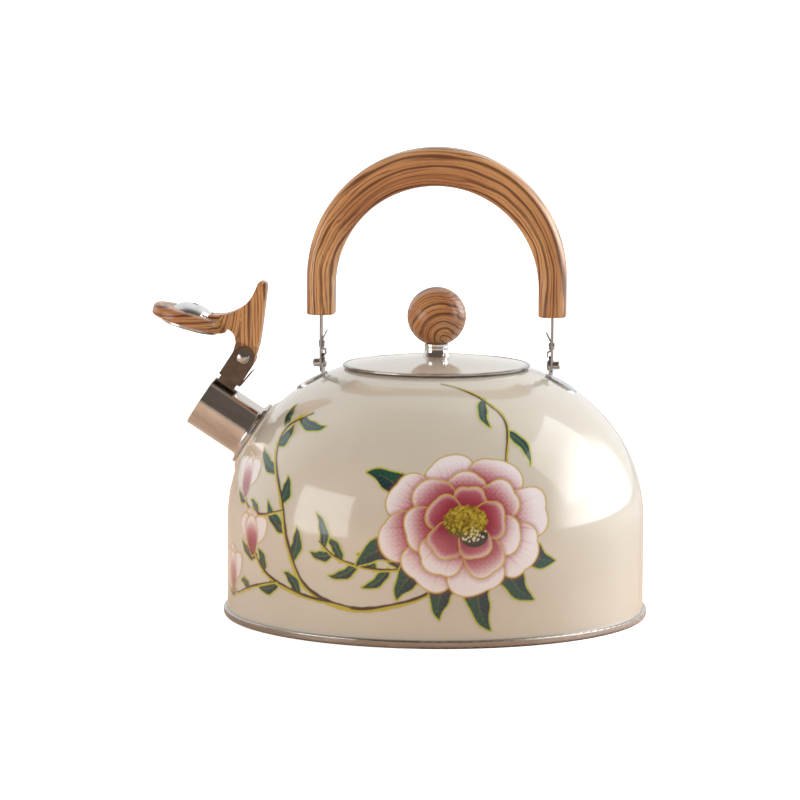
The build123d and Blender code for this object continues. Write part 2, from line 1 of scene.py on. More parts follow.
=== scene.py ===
"""Looks for a stovetop whistling kettle with an arched handle, a ball knob and a flip-up whistle flap.

The kettle's frame has +Z up, the spout towards -X and the foot on the floor at z = 0. Lengths are metres.
"""
import json
import logging
import math
from dataclasses import dataclass
from enum import Enum

import bpy
import numpy as np
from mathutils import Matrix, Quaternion, Vector


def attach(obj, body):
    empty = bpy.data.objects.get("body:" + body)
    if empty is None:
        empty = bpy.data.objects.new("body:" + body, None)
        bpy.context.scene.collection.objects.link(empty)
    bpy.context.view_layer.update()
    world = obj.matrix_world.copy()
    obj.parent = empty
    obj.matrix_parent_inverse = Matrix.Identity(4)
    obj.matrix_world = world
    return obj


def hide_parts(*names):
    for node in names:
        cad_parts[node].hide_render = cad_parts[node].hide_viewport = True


LOG = logging.getLogger("kettle")
MM = 0.001
Colour = tuple[float, float, float]
Span = tuple[float, float]
HEADING = 4.5  # degrees from -Y towards +X at which the camera and the print's middle stand

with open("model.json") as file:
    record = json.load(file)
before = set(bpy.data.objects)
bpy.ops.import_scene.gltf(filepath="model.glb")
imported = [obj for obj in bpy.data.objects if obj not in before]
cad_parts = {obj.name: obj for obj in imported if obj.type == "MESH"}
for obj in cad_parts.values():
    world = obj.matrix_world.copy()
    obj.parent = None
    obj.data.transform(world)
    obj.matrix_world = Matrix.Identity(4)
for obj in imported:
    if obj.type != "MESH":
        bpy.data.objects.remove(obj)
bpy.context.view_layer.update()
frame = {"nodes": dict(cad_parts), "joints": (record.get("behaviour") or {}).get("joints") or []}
JOINTS = {joint["name"]: joint for joint in frame["joints"]}


# ---------------------------------------------------------------- node tools
class Sheet:
    """A node tree with short ways to add nodes and join sockets."""

    def __init__(self, tree: bpy.types.NodeTree) -> None:
        """Keeps the tree.

        Args:
            tree: The node tree that is written to.
        """
        self.tree = tree

    def node(self, kind: str, **settings: object) -> bpy.types.Node:
        """Adds a node.

        Args:
            kind: Blender's node type name.
            **settings: Properties of the node.

        Returns:
            The new node.
        """
        made = self.tree.nodes.new(kind)
        for name, value in settings.items():
            setattr(made, name, value)
        return made

    def join(self, source: object, target: object) -> None:
        """Links an output to an input, or writes a plain value to the input.

        Args:
            source: An output socket or a plain value.
            target: The input socket.
        """
        if isinstance(source, bpy.types.NodeSocket):
            self.tree.links.new(source, target)
        elif isinstance(source, tuple) and len(source) == 3 and target.type == "RGBA":
            target.default_value = (*source, 1.0)
        else:
            target.default_value = source

    def math(self, operation: str, *values: object, clamp: bool = False) -> bpy.types.NodeSocket:
        """Adds a Math node and fills its inputs.

        Args:
            operation: The Math node's operation.
            *values: Sockets or numbers for its inputs.
            clamp: Whether the result is held between 0 and 1.

        Returns:
            The node's output.
        """
        made = self.node("ShaderNodeMath", operation=operation, use_clamp=clamp)
        for index, value in enumerate(values):
            self.join(value, made.inputs[index])
        return made.outputs[0]

    def mix(self, factor: object, low: object, high: object, blend: str = "MIX") -> bpy.types.NodeSocket:
        """Mixes two colours.

        Args:
            factor: Share of the second colour.
            low: First colour.
            high: Second colour.
            blend: Blend type.

        Returns:
            The mixed colour.
        """
        made = self.node("ShaderNodeMix", data_type="RGBA", blend_type=blend)
        self.join(factor, made.inputs[0])
        self.join(low, made.inputs[6])
        self.join(high, made.inputs[7])
        return made.outputs[2]

    def noise(self, vector: object, scale: float, detail: float = 3.0, twist: float = 0.0,
              rough: float = 0.55) -> bpy.types.NodeSocket:
        """Adds a noise pattern.

        Args:
            vector: Coordinates.
            scale: Scale of the noise.
            detail: Octaves.
            twist: Distortion.
            rough: Roughness of the octaves.

        Returns:
            The noise value.
        """
        made = self.node("ShaderNodeTexNoise")
        self.join(vector, made.inputs["Vector"])
        made.inputs["Scale"].default_value = scale
        made.inputs["Detail"].default_value = detail
        made.inputs["Distortion"].default_value = twist
        made.inputs["Roughness"].default_value = rough
        return made.outputs[0]

    def ramp(self, value: object, low: float, high: float, out_low: float = 0.0,
             out_high: float = 1.0) -> bpy.types.NodeSocket:
        """Maps a value smoothly from one range to another.

        Args:
            value: The input.
            low: Input that gives out_low.
            high: Input that gives out_high.
            out_low: Lowest output.
            out_high: Highest output.

        Returns:
            The mapped value.
        """
        made = self.node("ShaderNodeMapRange", interpolation_type="SMOOTHSTEP")
        limits = {"From Min": low, "From Max": high, "To Min": out_low, "To Max": out_high}
        for name, number in limits.items():
            made.inputs[name].default_value = number
        self.join(value, made.inputs["Value"])
        return made.outputs[0]

    def vector(self, operation: str, first: object, second: object) -> bpy.types.NodeSocket:
        """Adds a Vector Math node and fills its two inputs.

        Args:
            operation: The node's operation.
            first: First vector.
            second: Second vector.

        Returns:
            The node's output.
        """
        made = self.node("ShaderNodeVectorMath", operation=operation)
        self.join(first, made.inputs[0])
        self.join(second, made.inputs[1])
        return made.outputs[0]

    def apart(self, vector: object) -> list[bpy.types.NodeSocket]:
        """Takes a vector apart.

        Args:
            vector: The vector.

        Returns:
            Its X, Y and Z.
        """
        made = self.node("ShaderNodeSeparateXYZ")
        self.join(vector, made.inputs[0])
        return list(made.outputs)

    def group(self, tree: bpy.types.NodeTree, **inputs: object) -> bpy.types.Node:
        """Places a node group and fills its named inputs.

        Args:
            tree: The group's tree.
            **inputs: Values or sockets, with underscores for spaces in the names.

        Returns:
            The group node.
        """
        made = self.node("ShaderNodeGroup", node_tree=tree)
        for name, value in inputs.items():
            self.join(value, made.inputs[name.replace("_", " ")])
        return made


def new_group(name: str, inputs: dict[str, tuple[str, object]],
              outputs: dict[str, str]) -> tuple[Sheet, dict, dict]:
    """Starts a node group.

    Args:
        name: The group's name.
        inputs: Input name to socket type and default.
        outputs: Output name to socket type.

    Returns:
        The group's sheet, its input sockets by name, and its output sockets by name.
    """
    tree = bpy.data.node_groups.new(name, "ShaderNodeTree")
    for label, (kind, default) in inputs.items():
        socket = tree.interface.new_socket(label, in_out="INPUT", socket_type=f"NodeSocket{kind}")
        if default is not None:
            socket.default_value = default
    for label, kind in outputs.items():
        tree.interface.new_socket(label, in_out="OUTPUT", socket_type=f"NodeSocket{kind}")
    sheet = Sheet(tree)
    start = sheet.node("NodeGroupInput")
    end = sheet.node("NodeGroupOutput")
    return sheet, {s.name: s for s in start.outputs}, {s.name: s for s in end.inputs}


class GrainPath(Enum):
    """How wood grain runs through a piece."""

    ARCH = "arch"
    ELBOW = "elbow"


class Effects:
    """Node groups that several finishes share."""

    def __init__(self) -> None:
        """Builds every group once."""
        self.marks = self.build_marks()
        self.brushing = self.build_brushing()
        self.timber = self.build_timber()
        self.bends = {way: self.build_bend(way) for way in GrainPath}

    def build_marks(self) -> bpy.types.NodeTree:
        """Soft handling marks and a faint unevenness.

        Returns:
            The node group.
        """
        sheet, given, out = new_group(
            "Handling marks",
            {"Vector": ("Vector", None), "Roughness": ("Float", 0.2), "Spread": ("Float", 0.06)},
            {"Roughness": "Float", "Tone": "Float", "Height": "Float"},
        )
        broad = sheet.noise(given["Vector"], 14.0, 3.0, 0.8)
        upright = sheet.vector("MULTIPLY", given["Vector"], (40.0, 40.0, 150.0))
        smear = sheet.noise(upright, 1.0, 4.0, 0.4)
        patch = sheet.math("MULTIPLY", sheet.ramp(broad, 0.35, 0.7), sheet.ramp(smear, 0.4, 0.7))
        sheet.join(sheet.math("MULTIPLY_ADD", patch, given["Spread"], given["Roughness"]), out["Roughness"])
        sheet.join(broad, out["Tone"])
        sheet.join(sheet.noise(given["Vector"], 170.0, 2.0), out["Height"])
        return sheet.tree

    def build_brushing(self) -> bpy.types.NodeTree:
        """Fine lines left by polishing, along the axis with the smallest factor in Lay.

        Returns:
            The node group.
        """
        sheet, given, out = new_group(
            "Polishing lines",
            {"Vector": ("Vector", None), "Lay": ("Vector", (1.0, 1.0, 1.0)), "Roughness": ("Float", 0.2),
             "Strength": ("Float", 0.1)},
            {"Roughness": "Float", "Tone": "Float", "Height": "Float"},
        )
        scaled = sheet.vector("MULTIPLY", given["Vector"], given["Lay"])
        fine = sheet.noise(scaled, 900.0, 4.0, 0.0, 0.7)
        broad = sheet.noise(scaled, 160.0, 3.0)
        lines = sheet.math("MULTIPLY_ADD", fine, 0.7, sheet.math("MULTIPLY", broad, 0.3))
        centred = sheet.math("SUBTRACT", lines, 0.5)
        roughness = sheet.math("MULTIPLY_ADD", centred, given["Strength"], given["Roughness"])
        sheet.join(roughness, out["Roughness"])
        sheet.join(broad, out["Tone"])
        sheet.join(fine, out["Height"])
        return sheet.tree

    def build_timber(self) -> bpy.types.NodeTree:
        """Wood figure: broad and thin dark lines, fibres and short pores. X runs along the grain, in mm.

        Returns:
            The node group.
        """
        sheet, given, out = new_group(
            "Timber figure",
            {"Vector": ("Vector", None), "Light": ("Color", None), "Mid": ("Color", None),
             "Dark": ("Color", None)},
            {"Color": "Color", "Roughness": "Float", "Height": "Float"},
        )

        def drawn(cycles: Colour, detail: float, twist: float = 0.2,
                  rough: float = 0.55) -> bpy.types.NodeSocket:
            """Noise drawn out along the grain, by its cycles per millimetre along each axis."""
            return sheet.noise(sheet.vector("MULTIPLY", given["Vector"], cycles), 1.0, detail, twist, rough)

        warp = drawn((0.0085, 0.035, 0.03), 3.0)
        fibre = drawn((0.05, 1.7, 0.9), 5.0, 0.5, 0.65)
        fade = drawn((0.012, 0.16, 0.08), 3.0)
        pores = sheet.ramp(drawn((0.28, 3.4, 2.2), 2.0), 0.62, 0.72)
        phase = sheet.math("MULTIPLY", sheet.apart(given["Vector"])[1], 1.45)
        phase = sheet.math("ADD", phase, sheet.math("MULTIPLY", warp, 24.0))
        phase = sheet.math("ADD", phase, sheet.math("MULTIPLY", fibre, 1.9))
        broad = sheet.ramp(sheet.math("SINE", phase), 0.30, 0.98)
        broad = sheet.math("MULTIPLY", broad, sheet.ramp(fade, 0.32, 0.52))
        thin = sheet.math("SINE", sheet.math("MULTIPLY", phase, 2.6))
        thin = sheet.math("MULTIPLY", sheet.ramp(thin, 0.35, 1.0), sheet.ramp(fade, 0.68, 0.44))
        ground = sheet.mix(sheet.ramp(warp, 0.36, 0.66), given["Light"], given["Mid"])
        ground = sheet.mix(sheet.ramp(fibre, 0.46, 0.74, 0.0, 0.65), ground, given["Mid"])
        for mark, depth in ((thin, 0.72), (broad, 0.88), (pores, 0.55)):
            ground = sheet.mix(sheet.math("MULTIPLY", mark, depth), ground, given["Dark"])
        sheet.join(ground, out["Color"])
        sheet.join(sheet.ramp(fibre, 0.3, 0.75, 0.26, 0.44), out["Roughness"])
        sheet.join(sheet.math("SUBTRACT", fibre, sheet.math("MULTIPLY", pores, 0.6)), out["Height"])
        return sheet.tree

    def build_bend(self, way: GrainPath) -> bpy.types.NodeTree:
        """Coordinates along a bent piece, in millimetres: X along it, Y across the bend, Z across its width.

        Args:
            way: Whether the piece is an arch with two legs or an elbow with an arm and a leg.

        Returns:
            The node group.
        """
        sheet, given, out = new_group(
            f"Bent coordinates {way.value}",
            {"Vector": ("Vector", None), "Centre X": ("Float", 0.0), "Centre Z": ("Float", 0.0),
             "Radius": ("Float", 0.06)},
            {"Vector": "Vector"},
        )
        x, y, z = sheet.apart(given["Vector"])
        across = sheet.math("SUBTRACT", x, given["Centre X"])
        height = sheet.math("SUBTRACT", z, given["Centre Z"])
        if way is GrainPath.ARCH:
            above = sheet.math("MAXIMUM", height, 0.0)
            side = sheet.math("ABSOLUTE", across)
            squares = sheet.math("MULTIPLY", above, above)
            squares = sheet.math("ADD", sheet.math("MULTIPLY", side, side), squares)
            radial = sheet.math("SQRT", squares)
            angle = sheet.math("ARCTAN2", side, sheet.math("MAXIMUM", above, 0.01 * MM))
            leg = sheet.math("MINIMUM", height, 0.0)
            along = sheet.math("SUBTRACT", sheet.math("MULTIPLY", angle, given["Radius"]), leg)
            along = sheet.math("MULTIPLY", along, sheet.math("SIGN", across))
        else:
            turn = sheet.ramp(sheet.math("DIVIDE", across, given["Radius"]), -1.0, 0.0)
            still = sheet.math("SUBTRACT", 1.0, turn)
            radial = sheet.math("MULTIPLY_ADD", across, turn, sheet.math("MULTIPLY", height, still))
            down = sheet.math("MULTIPLY", height, turn)
            along = sheet.math("SUBTRACT", sheet.math("MULTIPLY", across, still), down)
        joined = sheet.node("ShaderNodeCombineXYZ")
        for index, value in enumerate((along, radial, y)):
            sheet.join(sheet.math("MULTIPLY", value, 1.0 / MM), joined.inputs[index])
        sheet.join(joined.outputs[0], out["Vector"])
        return sheet.tree


# ---------------------------------------------------------------- finishes
def start_material(name: str) -> tuple[bpy.types.Material, Sheet, bpy.types.Node, bpy.types.NodeSocket]:
    """Makes a material with one Principled shader and Object coordinates.

    Args:
        name: The material's name.

    Returns:
        The material, its sheet, the shader and the coordinates.
    """
    material = bpy.data.materials.new(name)
    material.use_nodes = True
    sheet = Sheet(material.node_tree)
    shader = material.node_tree.nodes["Principled BSDF"]
    return material, sheet, shader, sheet.node("ShaderNodeTexCoord").outputs["Object"]


def add_bump(sheet: Sheet, shader: bpy.types.Node, height: object, strength: float, depth: float) -> None:
    """Joins a height to the shader's normal.

    Args:
        sheet: The material's sheet.
        shader: The Principled shader.
        height: Height socket.
        strength: Strength of the bump.
        depth: Its depth in metres.
    """
    bump = sheet.node("ShaderNodeBump")
    bump.inputs["Strength"].default_value = strength
    bump.inputs["Distance"].default_value = depth
    sheet.join(height, bump.inputs["Height"])
    sheet.join(bump.outputs[0], shader.inputs["Normal"])


@dataclass(frozen=True)
class Enamel:
    """Glossy fired enamel."""

    name: str
    light: Colour
    shade: Colour
    roughness: float = 0.13

    def glaze(self, effects: Effects, sheet: Sheet, shader: bpy.types.Node,
              place: bpy.types.NodeSocket) -> bpy.types.NodeSocket:
        """Gives a shader the enamel's gloss and unevenness.

        Args:
            effects: The shared node groups.
            sheet: The material's sheet.
            shader: The Principled shader.
            place: Coordinates.

        Returns:
            The enamel's colour, which isn't joined yet.
        """
        marks = sheet.group(effects.marks, Vector=place, Roughness=self.roughness, Spread=0.05)
        sheet.join(marks.outputs["Roughness"], shader.inputs["Roughness"])
        shader.inputs["Coat Weight"].default_value = 0.7
        shader.inputs["Coat Roughness"].default_value = 0.04
        add_bump(sheet, shader, marks.outputs["Height"], 0.12, 0.08 * MM)
        return sheet.mix(sheet.ramp(marks.outputs["Tone"], 0.3, 0.7), self.light, self.shade)

    def material(self, effects: Effects) -> bpy.types.Material:
        """Builds the material.

        Args:
            effects: The shared node groups.

        Returns:
            The material.
        """
        material, sheet, shader, place = start_material(self.name)
        sheet.join(self.glaze(effects, sheet, shader, place), shader.inputs["Base Color"])
        return material


@dataclass(frozen=True)
class Metal:
    """Polished or brushed metal. The lay is small along the direction of the lines."""

    name: str
    tint: Colour
    roughness: float
    strength: float = 0.08
    lay: Colour = (1.0, 1.0, 1.0)
    stain: Colour = (0.45, 0.42, 0.40)
    bump: float = 0.08

    def material(self, effects: Effects) -> bpy.types.Material:
        """Builds the material.

        Args:
            effects: The shared node groups.

        Returns:
            The material.
        """
        material, sheet, shader, place = start_material(self.name)
        lines = sheet.group(effects.brushing, Vector=place, Lay=self.lay, Roughness=self.roughness,
                            Strength=self.strength)
        marks = sheet.group(effects.marks, Vector=place, Roughness=0.0, Spread=0.08)
        tone = sheet.ramp(sheet.math("MULTIPLY", lines.outputs["Tone"], marks.outputs["Tone"]), 0.12, 0.42)
        sheet.join(sheet.mix(tone, self.stain, self.tint), shader.inputs["Base Color"])
        sheet.join(sheet.math("ADD", lines.outputs["Roughness"], marks.outputs["Roughness"]),
                   shader.inputs["Roughness"])
        shader.inputs["Metallic"].default_value = 1.0
        add_bump(sheet, shader, lines.outputs["Height"], self.bump, 0.03 * MM)
        return material


@dataclass(frozen=True)
class Timber:
    """Wood-grain finish that follows a bent piece. The shift, in millimetres, picks a place in the wood."""

    name: str
    path: GrainPath
    centre: Span
    radius: float
    light: Colour = (0.70, 0.375, 0.155)
    mid: Colour = (0.44, 0.175, 0.060)
    dark: Colour = (0.105, 0.031, 0.010)
    shift: Colour = (0.0, 0.0, 0.0)

    def material(self, effects: Effects) -> bpy.types.Material:
        """Builds the material.

        Args:
            effects: The shared node groups.

        Returns:
            The material.
        """
        material, sheet, shader, place = start_material(self.name)
        bent = sheet.group(effects.bends[self.path], Vector=place, Centre_X=self.centre[0],
                           Centre_Z=self.centre[1], Radius=self.radius)
        shifted = sheet.vector("ADD", bent.outputs[0], self.shift)
        figure = sheet.group(effects.timber, Vector=shifted, Light=self.light, Mid=self.mid, Dark=self.dark)
        sheet.join(figure.outputs["Color"], shader.inputs["Base Color"])
        sheet.join(figure.outputs["Roughness"], shader.inputs["Roughness"])
        shader.inputs["Coat Weight"].default_value = 0.25
        shader.inputs["Coat Roughness"].default_value = 0.18
        add_bump(sheet, shader, figure.outputs["Height"], 0.25, 0.12 * MM)
        return material


@dataclass(frozen=True)
class Print:
    """Fired colour print: the print sheet's own inks where it is covered, and bare enamel between them."""

    name: str
    colour_name: str
    cover_name: str
    ground: Enamel

    def material(self, effects: Effects) -> bpy.types.Material:
        """Builds the material.

        Args:
            effects: The shared node groups.

        Returns:
            The material.
        """
        material, sheet, shader, place = start_material(self.name)
        inks = sheet.node("ShaderNodeAttribute", attribute_name=self.colour_name)
        cover = sheet.node("ShaderNodeAttribute", attribute_name=self.cover_name)
        bare = self.ground.glaze(effects, sheet, shader, place)
        sheet.join(sheet.mix(cover.outputs["Fac"], bare, inks.outputs["Color"]), shader.inputs["Base Color"])
        return material


Finish = Enamel | Metal | Timber | Print

CREAM = Enamel("cream_enamel", (0.665, 0.610, 0.515), (0.630, 0.570, 0.472))
LID_CREAM = Enamel("lid_enamel", (0.68, 0.63, 0.535), (0.65, 0.59, 0.495))
RIM_STEEL = Metal("rim_steel", (0.60, 0.56, 0.53), 0.24, 0.10, (1.0, 1.0, 12.0), (0.42, 0.39, 0.36))
DISC_STEEL = Metal("disc_steel", (0.62, 0.61, 0.60), 0.36, 0.20, (1.0, 1.0, 1.0), (0.42, 0.40, 0.38), 0.2)
SPOUT_STEEL = Metal("spout_steel", (0.74, 0.70, 0.66), 0.10, 0.06, (0.25, 4.0, 0.4), (0.60, 0.56, 0.52))
BRACKET_STEEL = Metal("bracket_steel", (0.20, 0.165, 0.145), 0.20, 0.10, (0.5, 4.0, 1.0), (0.11, 0.09, 0.078))
RIVET_STEEL = Metal("rivet_steel", (0.78, 0.77, 0.76), 0.16, 0.08)
PLATE_STEEL = Metal("plate_steel", (0.70, 0.69, 0.68), 0.24, 0.12)
DOME_CHROME = Metal("dome_chrome", (0.82, 0.82, 0.82), 0.07, 0.03, stain=(0.66, 0.66, 0.66))
EDGE_STEEL = Metal("lid_edge_steel", (0.50, 0.47, 0.44), 0.16, 0.08, (1.0, 1.0, 10.0), (0.32, 0.30, 0.28))
SKIRT_STEEL = Metal("skirt_steel", (0.66, 0.65, 0.64), 0.26, 0.14, (1.0, 1.0, 10.0))
BRASS = Metal("insert_brass", (0.75, 0.56, 0.27), 0.30, 0.16, (1.0, 1.0, 14.0), (0.50, 0.36, 0.16))
FERRULE_CHROME = Metal("ferrule_chrome", (0.78, 0.77, 0.76), 0.08, 0.04, (1.0, 1.0, 8.0), (0.60, 0.58, 0.56))
SCREW_STEEL = Metal("screw_steel", (0.62, 0.62, 0.62), 0.30, 0.14)
STRAP_STEEL = Metal("strap_steel", (0.48, 0.54, 0.63), 0.18, 0.10, (1.0, 8.0, 0.5), (0.36, 0.39, 0.43))
LUG_STEEL = Metal("lug_steel", (0.62, 0.65, 0.70), 0.15, 0.08, (1.0, 6.0, 1.0), (0.45, 0.47, 0.50))
CLIP_STEEL = Metal("clip_steel", (0.34, 0.36, 0.40), 0.24, 0.12, stain=(0.20, 0.21, 0.23))


# ---------------------------------------------------------------- mesh tools
MERGED = 0.004 * MM        # corners closer than this are one
FLAT = math.radians(0.6)   # edges flatter than this are dissolved
CREASE = math.radians(40)  # edges sharper than this stay sharp


def clear_selection() -> None:
    """Leaves edit mode and deselects everything."""
    if bpy.context.object is not None and bpy.context.object.mode != "OBJECT":
        bpy.ops.object.mode_set(mode="OBJECT")
    bpy.ops.object.select_all(action="DESELECT")


def pick(piece: bpy.types.Object) -> None:
    """Makes a piece the only selected and active one.

    Args:
        piece: The piece.
    """
    clear_selection()
    piece.select_set(True)
    bpy.context.view_layer.objects.active = piece


def dress(effects: Effects, finishes: dict[Finish, tuple[str, ...]]) -> None:
    """Gives CAD nodes their finishes.

    Args:
        effects: The shared node groups.
        finishes: The nodes that each finish is for.
    """
    for finish, nodes in finishes.items():
        material = finish.material(effects)
        for node in nodes:
            piece = frame["nodes"][node]
            piece.data.materials.clear()
            piece.data.materials.append(material)
            LOG.info("%s: %s", node, material.name)


def softened(node: str, name: str, bevel: float, segments: int, angle: float) -> bpy.types.Object:
    """Makes a merged copy of a CAD node with softened edges, to stand for that node.

    Args:
        node: The CAD node.
        name: Name of the new piece.
        bevel: Width of the softening in metres.
        segments: Segments across it.
        angle: Least edge angle that is softened, in degrees.

    Returns:
        The new piece.
    """
    piece = bpy.data.objects.new(name, frame["nodes"][node].data.copy())
    bpy.context.scene.collection.objects.link(piece)
    pick(piece)
    bpy.ops.object.mode_set(mode="EDIT")
    bpy.ops.mesh.select_all(action="SELECT")
    bpy.ops.mesh.remove_doubles(threshold=MERGED)
    bpy.ops.mesh.dissolve_limited(angle_limit=FLAT)
    bpy.ops.mesh.normals_make_consistent(inside=False)
    bpy.ops.object.mode_set(mode="OBJECT")
    made = piece.modifiers.new("soften", "BEVEL")
    made.width = bevel
    made.segments = segments
    made.limit_method = "ANGLE"
    made.angle_limit = math.radians(angle)
    bpy.ops.object.modifier_apply(modifier=made.name)
    bpy.ops.object.shade_smooth_by_angle(angle=CREASE)
    piece.data.materials.clear()
    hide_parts(node)
    return piece


# ---------------------------------------------------------------- sub-assemblies
class Vessel:
    """The enamelled body with its foot, and the riveted lugs of the handle."""

    def build(self, effects: Effects) -> None:
        """Gives the body's pieces their finishes.

        Args:
            effects: The shared node groups.
        """
        dress(effects, {
            CREAM: ("body_shell",),
            RIM_STEEL: ("base_pan",),
            DISC_STEEL: ("heat_disc",),
            LUG_STEEL: ("handle_lug_left", "handle_lug_right"),
            RIVET_STEEL: ("lug_rivet_left", "lug_rivet_right"),
        })


class Spout:
    """The steel spout tube with its collar, and the whistle's bracket on it."""

    def build(self, effects: Effects) -> None:
        """Gives the spout's pieces their finishes.

        Args:
            effects: The shared node groups.
        """
        dress(effects, {
            SPOUT_STEEL: ("spout_tube",),
            BRACKET_STEEL: ("whistle_bracket",),
            RIVET_STEEL: ("flap_rivet",),
        })


@dataclass
class Whistle:
    """The flip-up whistle cap with its tab, plate, disc and dome. Its grain turns from arm to tab."""

    bevel: float = 0.9 * MM
    segments: int = 4
    least_edge: float = 32.0
    grain_radius: float = 13.0 * MM
    grain_shift: Colour = (114.7, 3.1, 34.1)

    def build(self, effects: Effects) -> None:
        """Softens the cap and gives the whistle's pieces their finishes.

        Args:
            effects: The shared node groups.
        """
        cap = softened("whistle_flap", "whistle_cap", self.bevel, self.segments, self.least_edge)
        pivot_x, _, pivot_z = JOINTS["flap_close"]["pos_m"]
        timber = Timber("flap_timber", GrainPath.ELBOW, (pivot_x, pivot_z), self.grain_radius,
                        shift=self.grain_shift)
        cap.data.materials.append(timber.material(effects))
        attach(cap, "flap")
        LOG.info("whistle_cap: %d faces", len(cap.data.polygons))
        dress(effects, {
            PLATE_STEEL: ("whistle_plate", "whistle_disc"),
            DOME_CHROME: ("whistle_dome",),
        })


@dataclass
class Lid:
    """The domed lid with its bare edge, skirt, ball knob and knob hardware. The knob's grain bows over it."""

    grain_centre: Span = (5.0 * MM, 144.2 * MM)
    grain_radius: float = 12.0 * MM
    grain_shift: Colour = (284.9, 7.7, 84.7)

    def build(self, effects: Effects) -> None:
        """Gives the lid's pieces their finishes.

        Args:
            effects: The shared node groups.
        """
        ball = Timber("knob_timber", GrainPath.ARCH, self.grain_centre, self.grain_radius,
                      shift=self.grain_shift)
        dress(effects, {
            LID_CREAM: ("lid_cover",),
            EDGE_STEEL: ("lid_edge",),
            SKIRT_STEEL: ("lid_skirt",),
            ball: ("lid_knob",),
            BRASS: ("knob_insert",),
            FERRULE_CHROME: ("knob_ferrule",),
            SCREW_STEEL: ("knob_washer", "knob_screw"),
        })


@dataclass
class Handle:
    """The swinging handle: a bent steel strap, a wood-grain grip and two spring clips."""

    grain_centre: Span = (0.0, 172.8 * MM)
    grain_radius: float = 60.0 * MM

    def build(self, effects: Effects) -> None:
        """Gives the handle's pieces their finishes.

        Args:
            effects: The shared node groups.
        """
        grip = Timber("grip_timber", GrainPath.ARCH, self.grain_centre, self.grain_radius)
        dress(effects, {
            STRAP_STEEL: ("handle_strap",),
            grip: ("handle_grip",),
            CLIP_STEEL: ("latch_clip_left", "latch_clip_right"),
            RIVET_STEEL: ("clip_rivet_left", "clip_rivet_right"),
        })


# ---------------------------------------------------------------- printed flowers
class Ink(Enum):
    """Colours of the fired print."""

    PALE = (0.88, 0.83, 0.85)
    LILAC = (0.76, 0.66, 0.71)
    ROSE = (0.54, 0.165, 0.195)
    CRIMSON = (0.30, 0.028, 0.055)
    GOLD = (0.60, 0.42, 0.075)
    LIME = (0.50, 0.50, 0.045)
    TEAL = (0.008, 0.075, 0.052)
    NAVY = (0.008, 0.034, 0.050)
    BARK = (0.070, 0.038, 0.014)
    STRAW = (0.54, 0.44, 0.05)
    OCHRE = (0.36, 0.235, 0.022)
    OLIVE = (0.13, 0.090, 0.008)
    UMBER = (0.030, 0.016, 0.006)
    CREAM = (0.72, 0.64, 0.40)
    SHEEN = (0.84, 0.78, 0.77)

    @property
    def tint(self) -> np.ndarray:
        """The ink's colour as an array."""
        return np.array(self.value)


@dataclass(frozen=True)
class Petal:
    """A printed petal: its middle from the bloom's heart, the way its tip points and its size.

    Lengths are millimetres. The blush is about the share of its length that is red, and the ruffle is the
    depth of the notches between its lobes.
    """

    across: float
    up: float
    turn: float
    length: float
    width: float
    blush: float
    lobes: float
    streaks: float
    ruffle: float = 0.1045


@dataclass(frozen=True)
class Ring:
    """A ring of alike petals round a bloom's heart."""

    count: int
    reach: float
    length: float
    width: float
    blush: float
    first: float
    span: float = 360.0

    def petals(self, draw: np.random.Generator, flatten: float) -> list[Petal]:
        """Lays out the ring with a little variety.

        Args:
            draw: Source of the variety.
            flatten: Height of the ring for its width.

        Returns:
            The petals, upper ones first.
        """
        made = []
        for index in range(self.count):
            turn = self.first + self.span * index / self.count + draw.uniform(-5.0, 5.0)
            grown = draw.uniform(0.90, 1.10)
            across = self.reach * math.cos(math.radians(turn))
            up = self.reach * math.sin(math.radians(turn)) * flatten
            made.append(Petal(across, up, turn, self.length * grown, self.width * draw.uniform(0.92, 1.1),
                              self.blush + draw.uniform(-0.10, 0.12), float(draw.integers(3, 7)),
                              draw.uniform(0.15, 0.8)))
        return sorted(made, key=lambda petal: -petal.up)


@dataclass(frozen=True)
class Vine:
    """A printed stem through places on the body, with leaves on its two sides in turn."""

    places: tuple[tuple[float, float], ...]
    half: float
    leaves: int = 0
    leaf_length: float = 16.0
    leaf_half: float = 2.6
    first_leaf: float = 0.15


# Places on the body are degrees round it and millimetres up its side.
HEART = (7.5, 62.5)
BLOOM = (
    Ring(8, 25.5, 35.0, 33.0, 0.80, 12.0),
    Ring(7, 17.0, 28.0, 25.0, 0.90, 34.0),
    Ring(5, 10.5, 22.0, 21.0, 1.05, 8.0),
)
BUD = (
    Ring(3, 6.0, 22.0, 14.0, 0.55, 45.0, 135.0),
    Ring(1, 2.0, 22.0, 15.0, 0.85, 92.0),
)
BUDS = ((-60.0, 46.0), (-68.0, 74.0), (-74.0, 24.0))
SEPALS = (152.0, 206.0, 233.0, 258.0, 284.0, 311.0, 336.0)
SEPAL_RING = (30.0, 24.0)
SEPAL_LEAN = -22.0
SEPAL_LENGTH = 28.0
SEPAL_HALF = 6.2
SEPAL_CURL = 46.0
CUSHION_DOTS = 190
EYE_DOTS = 26
PETAL_SEED = 12
STAMEN_SEED = 7
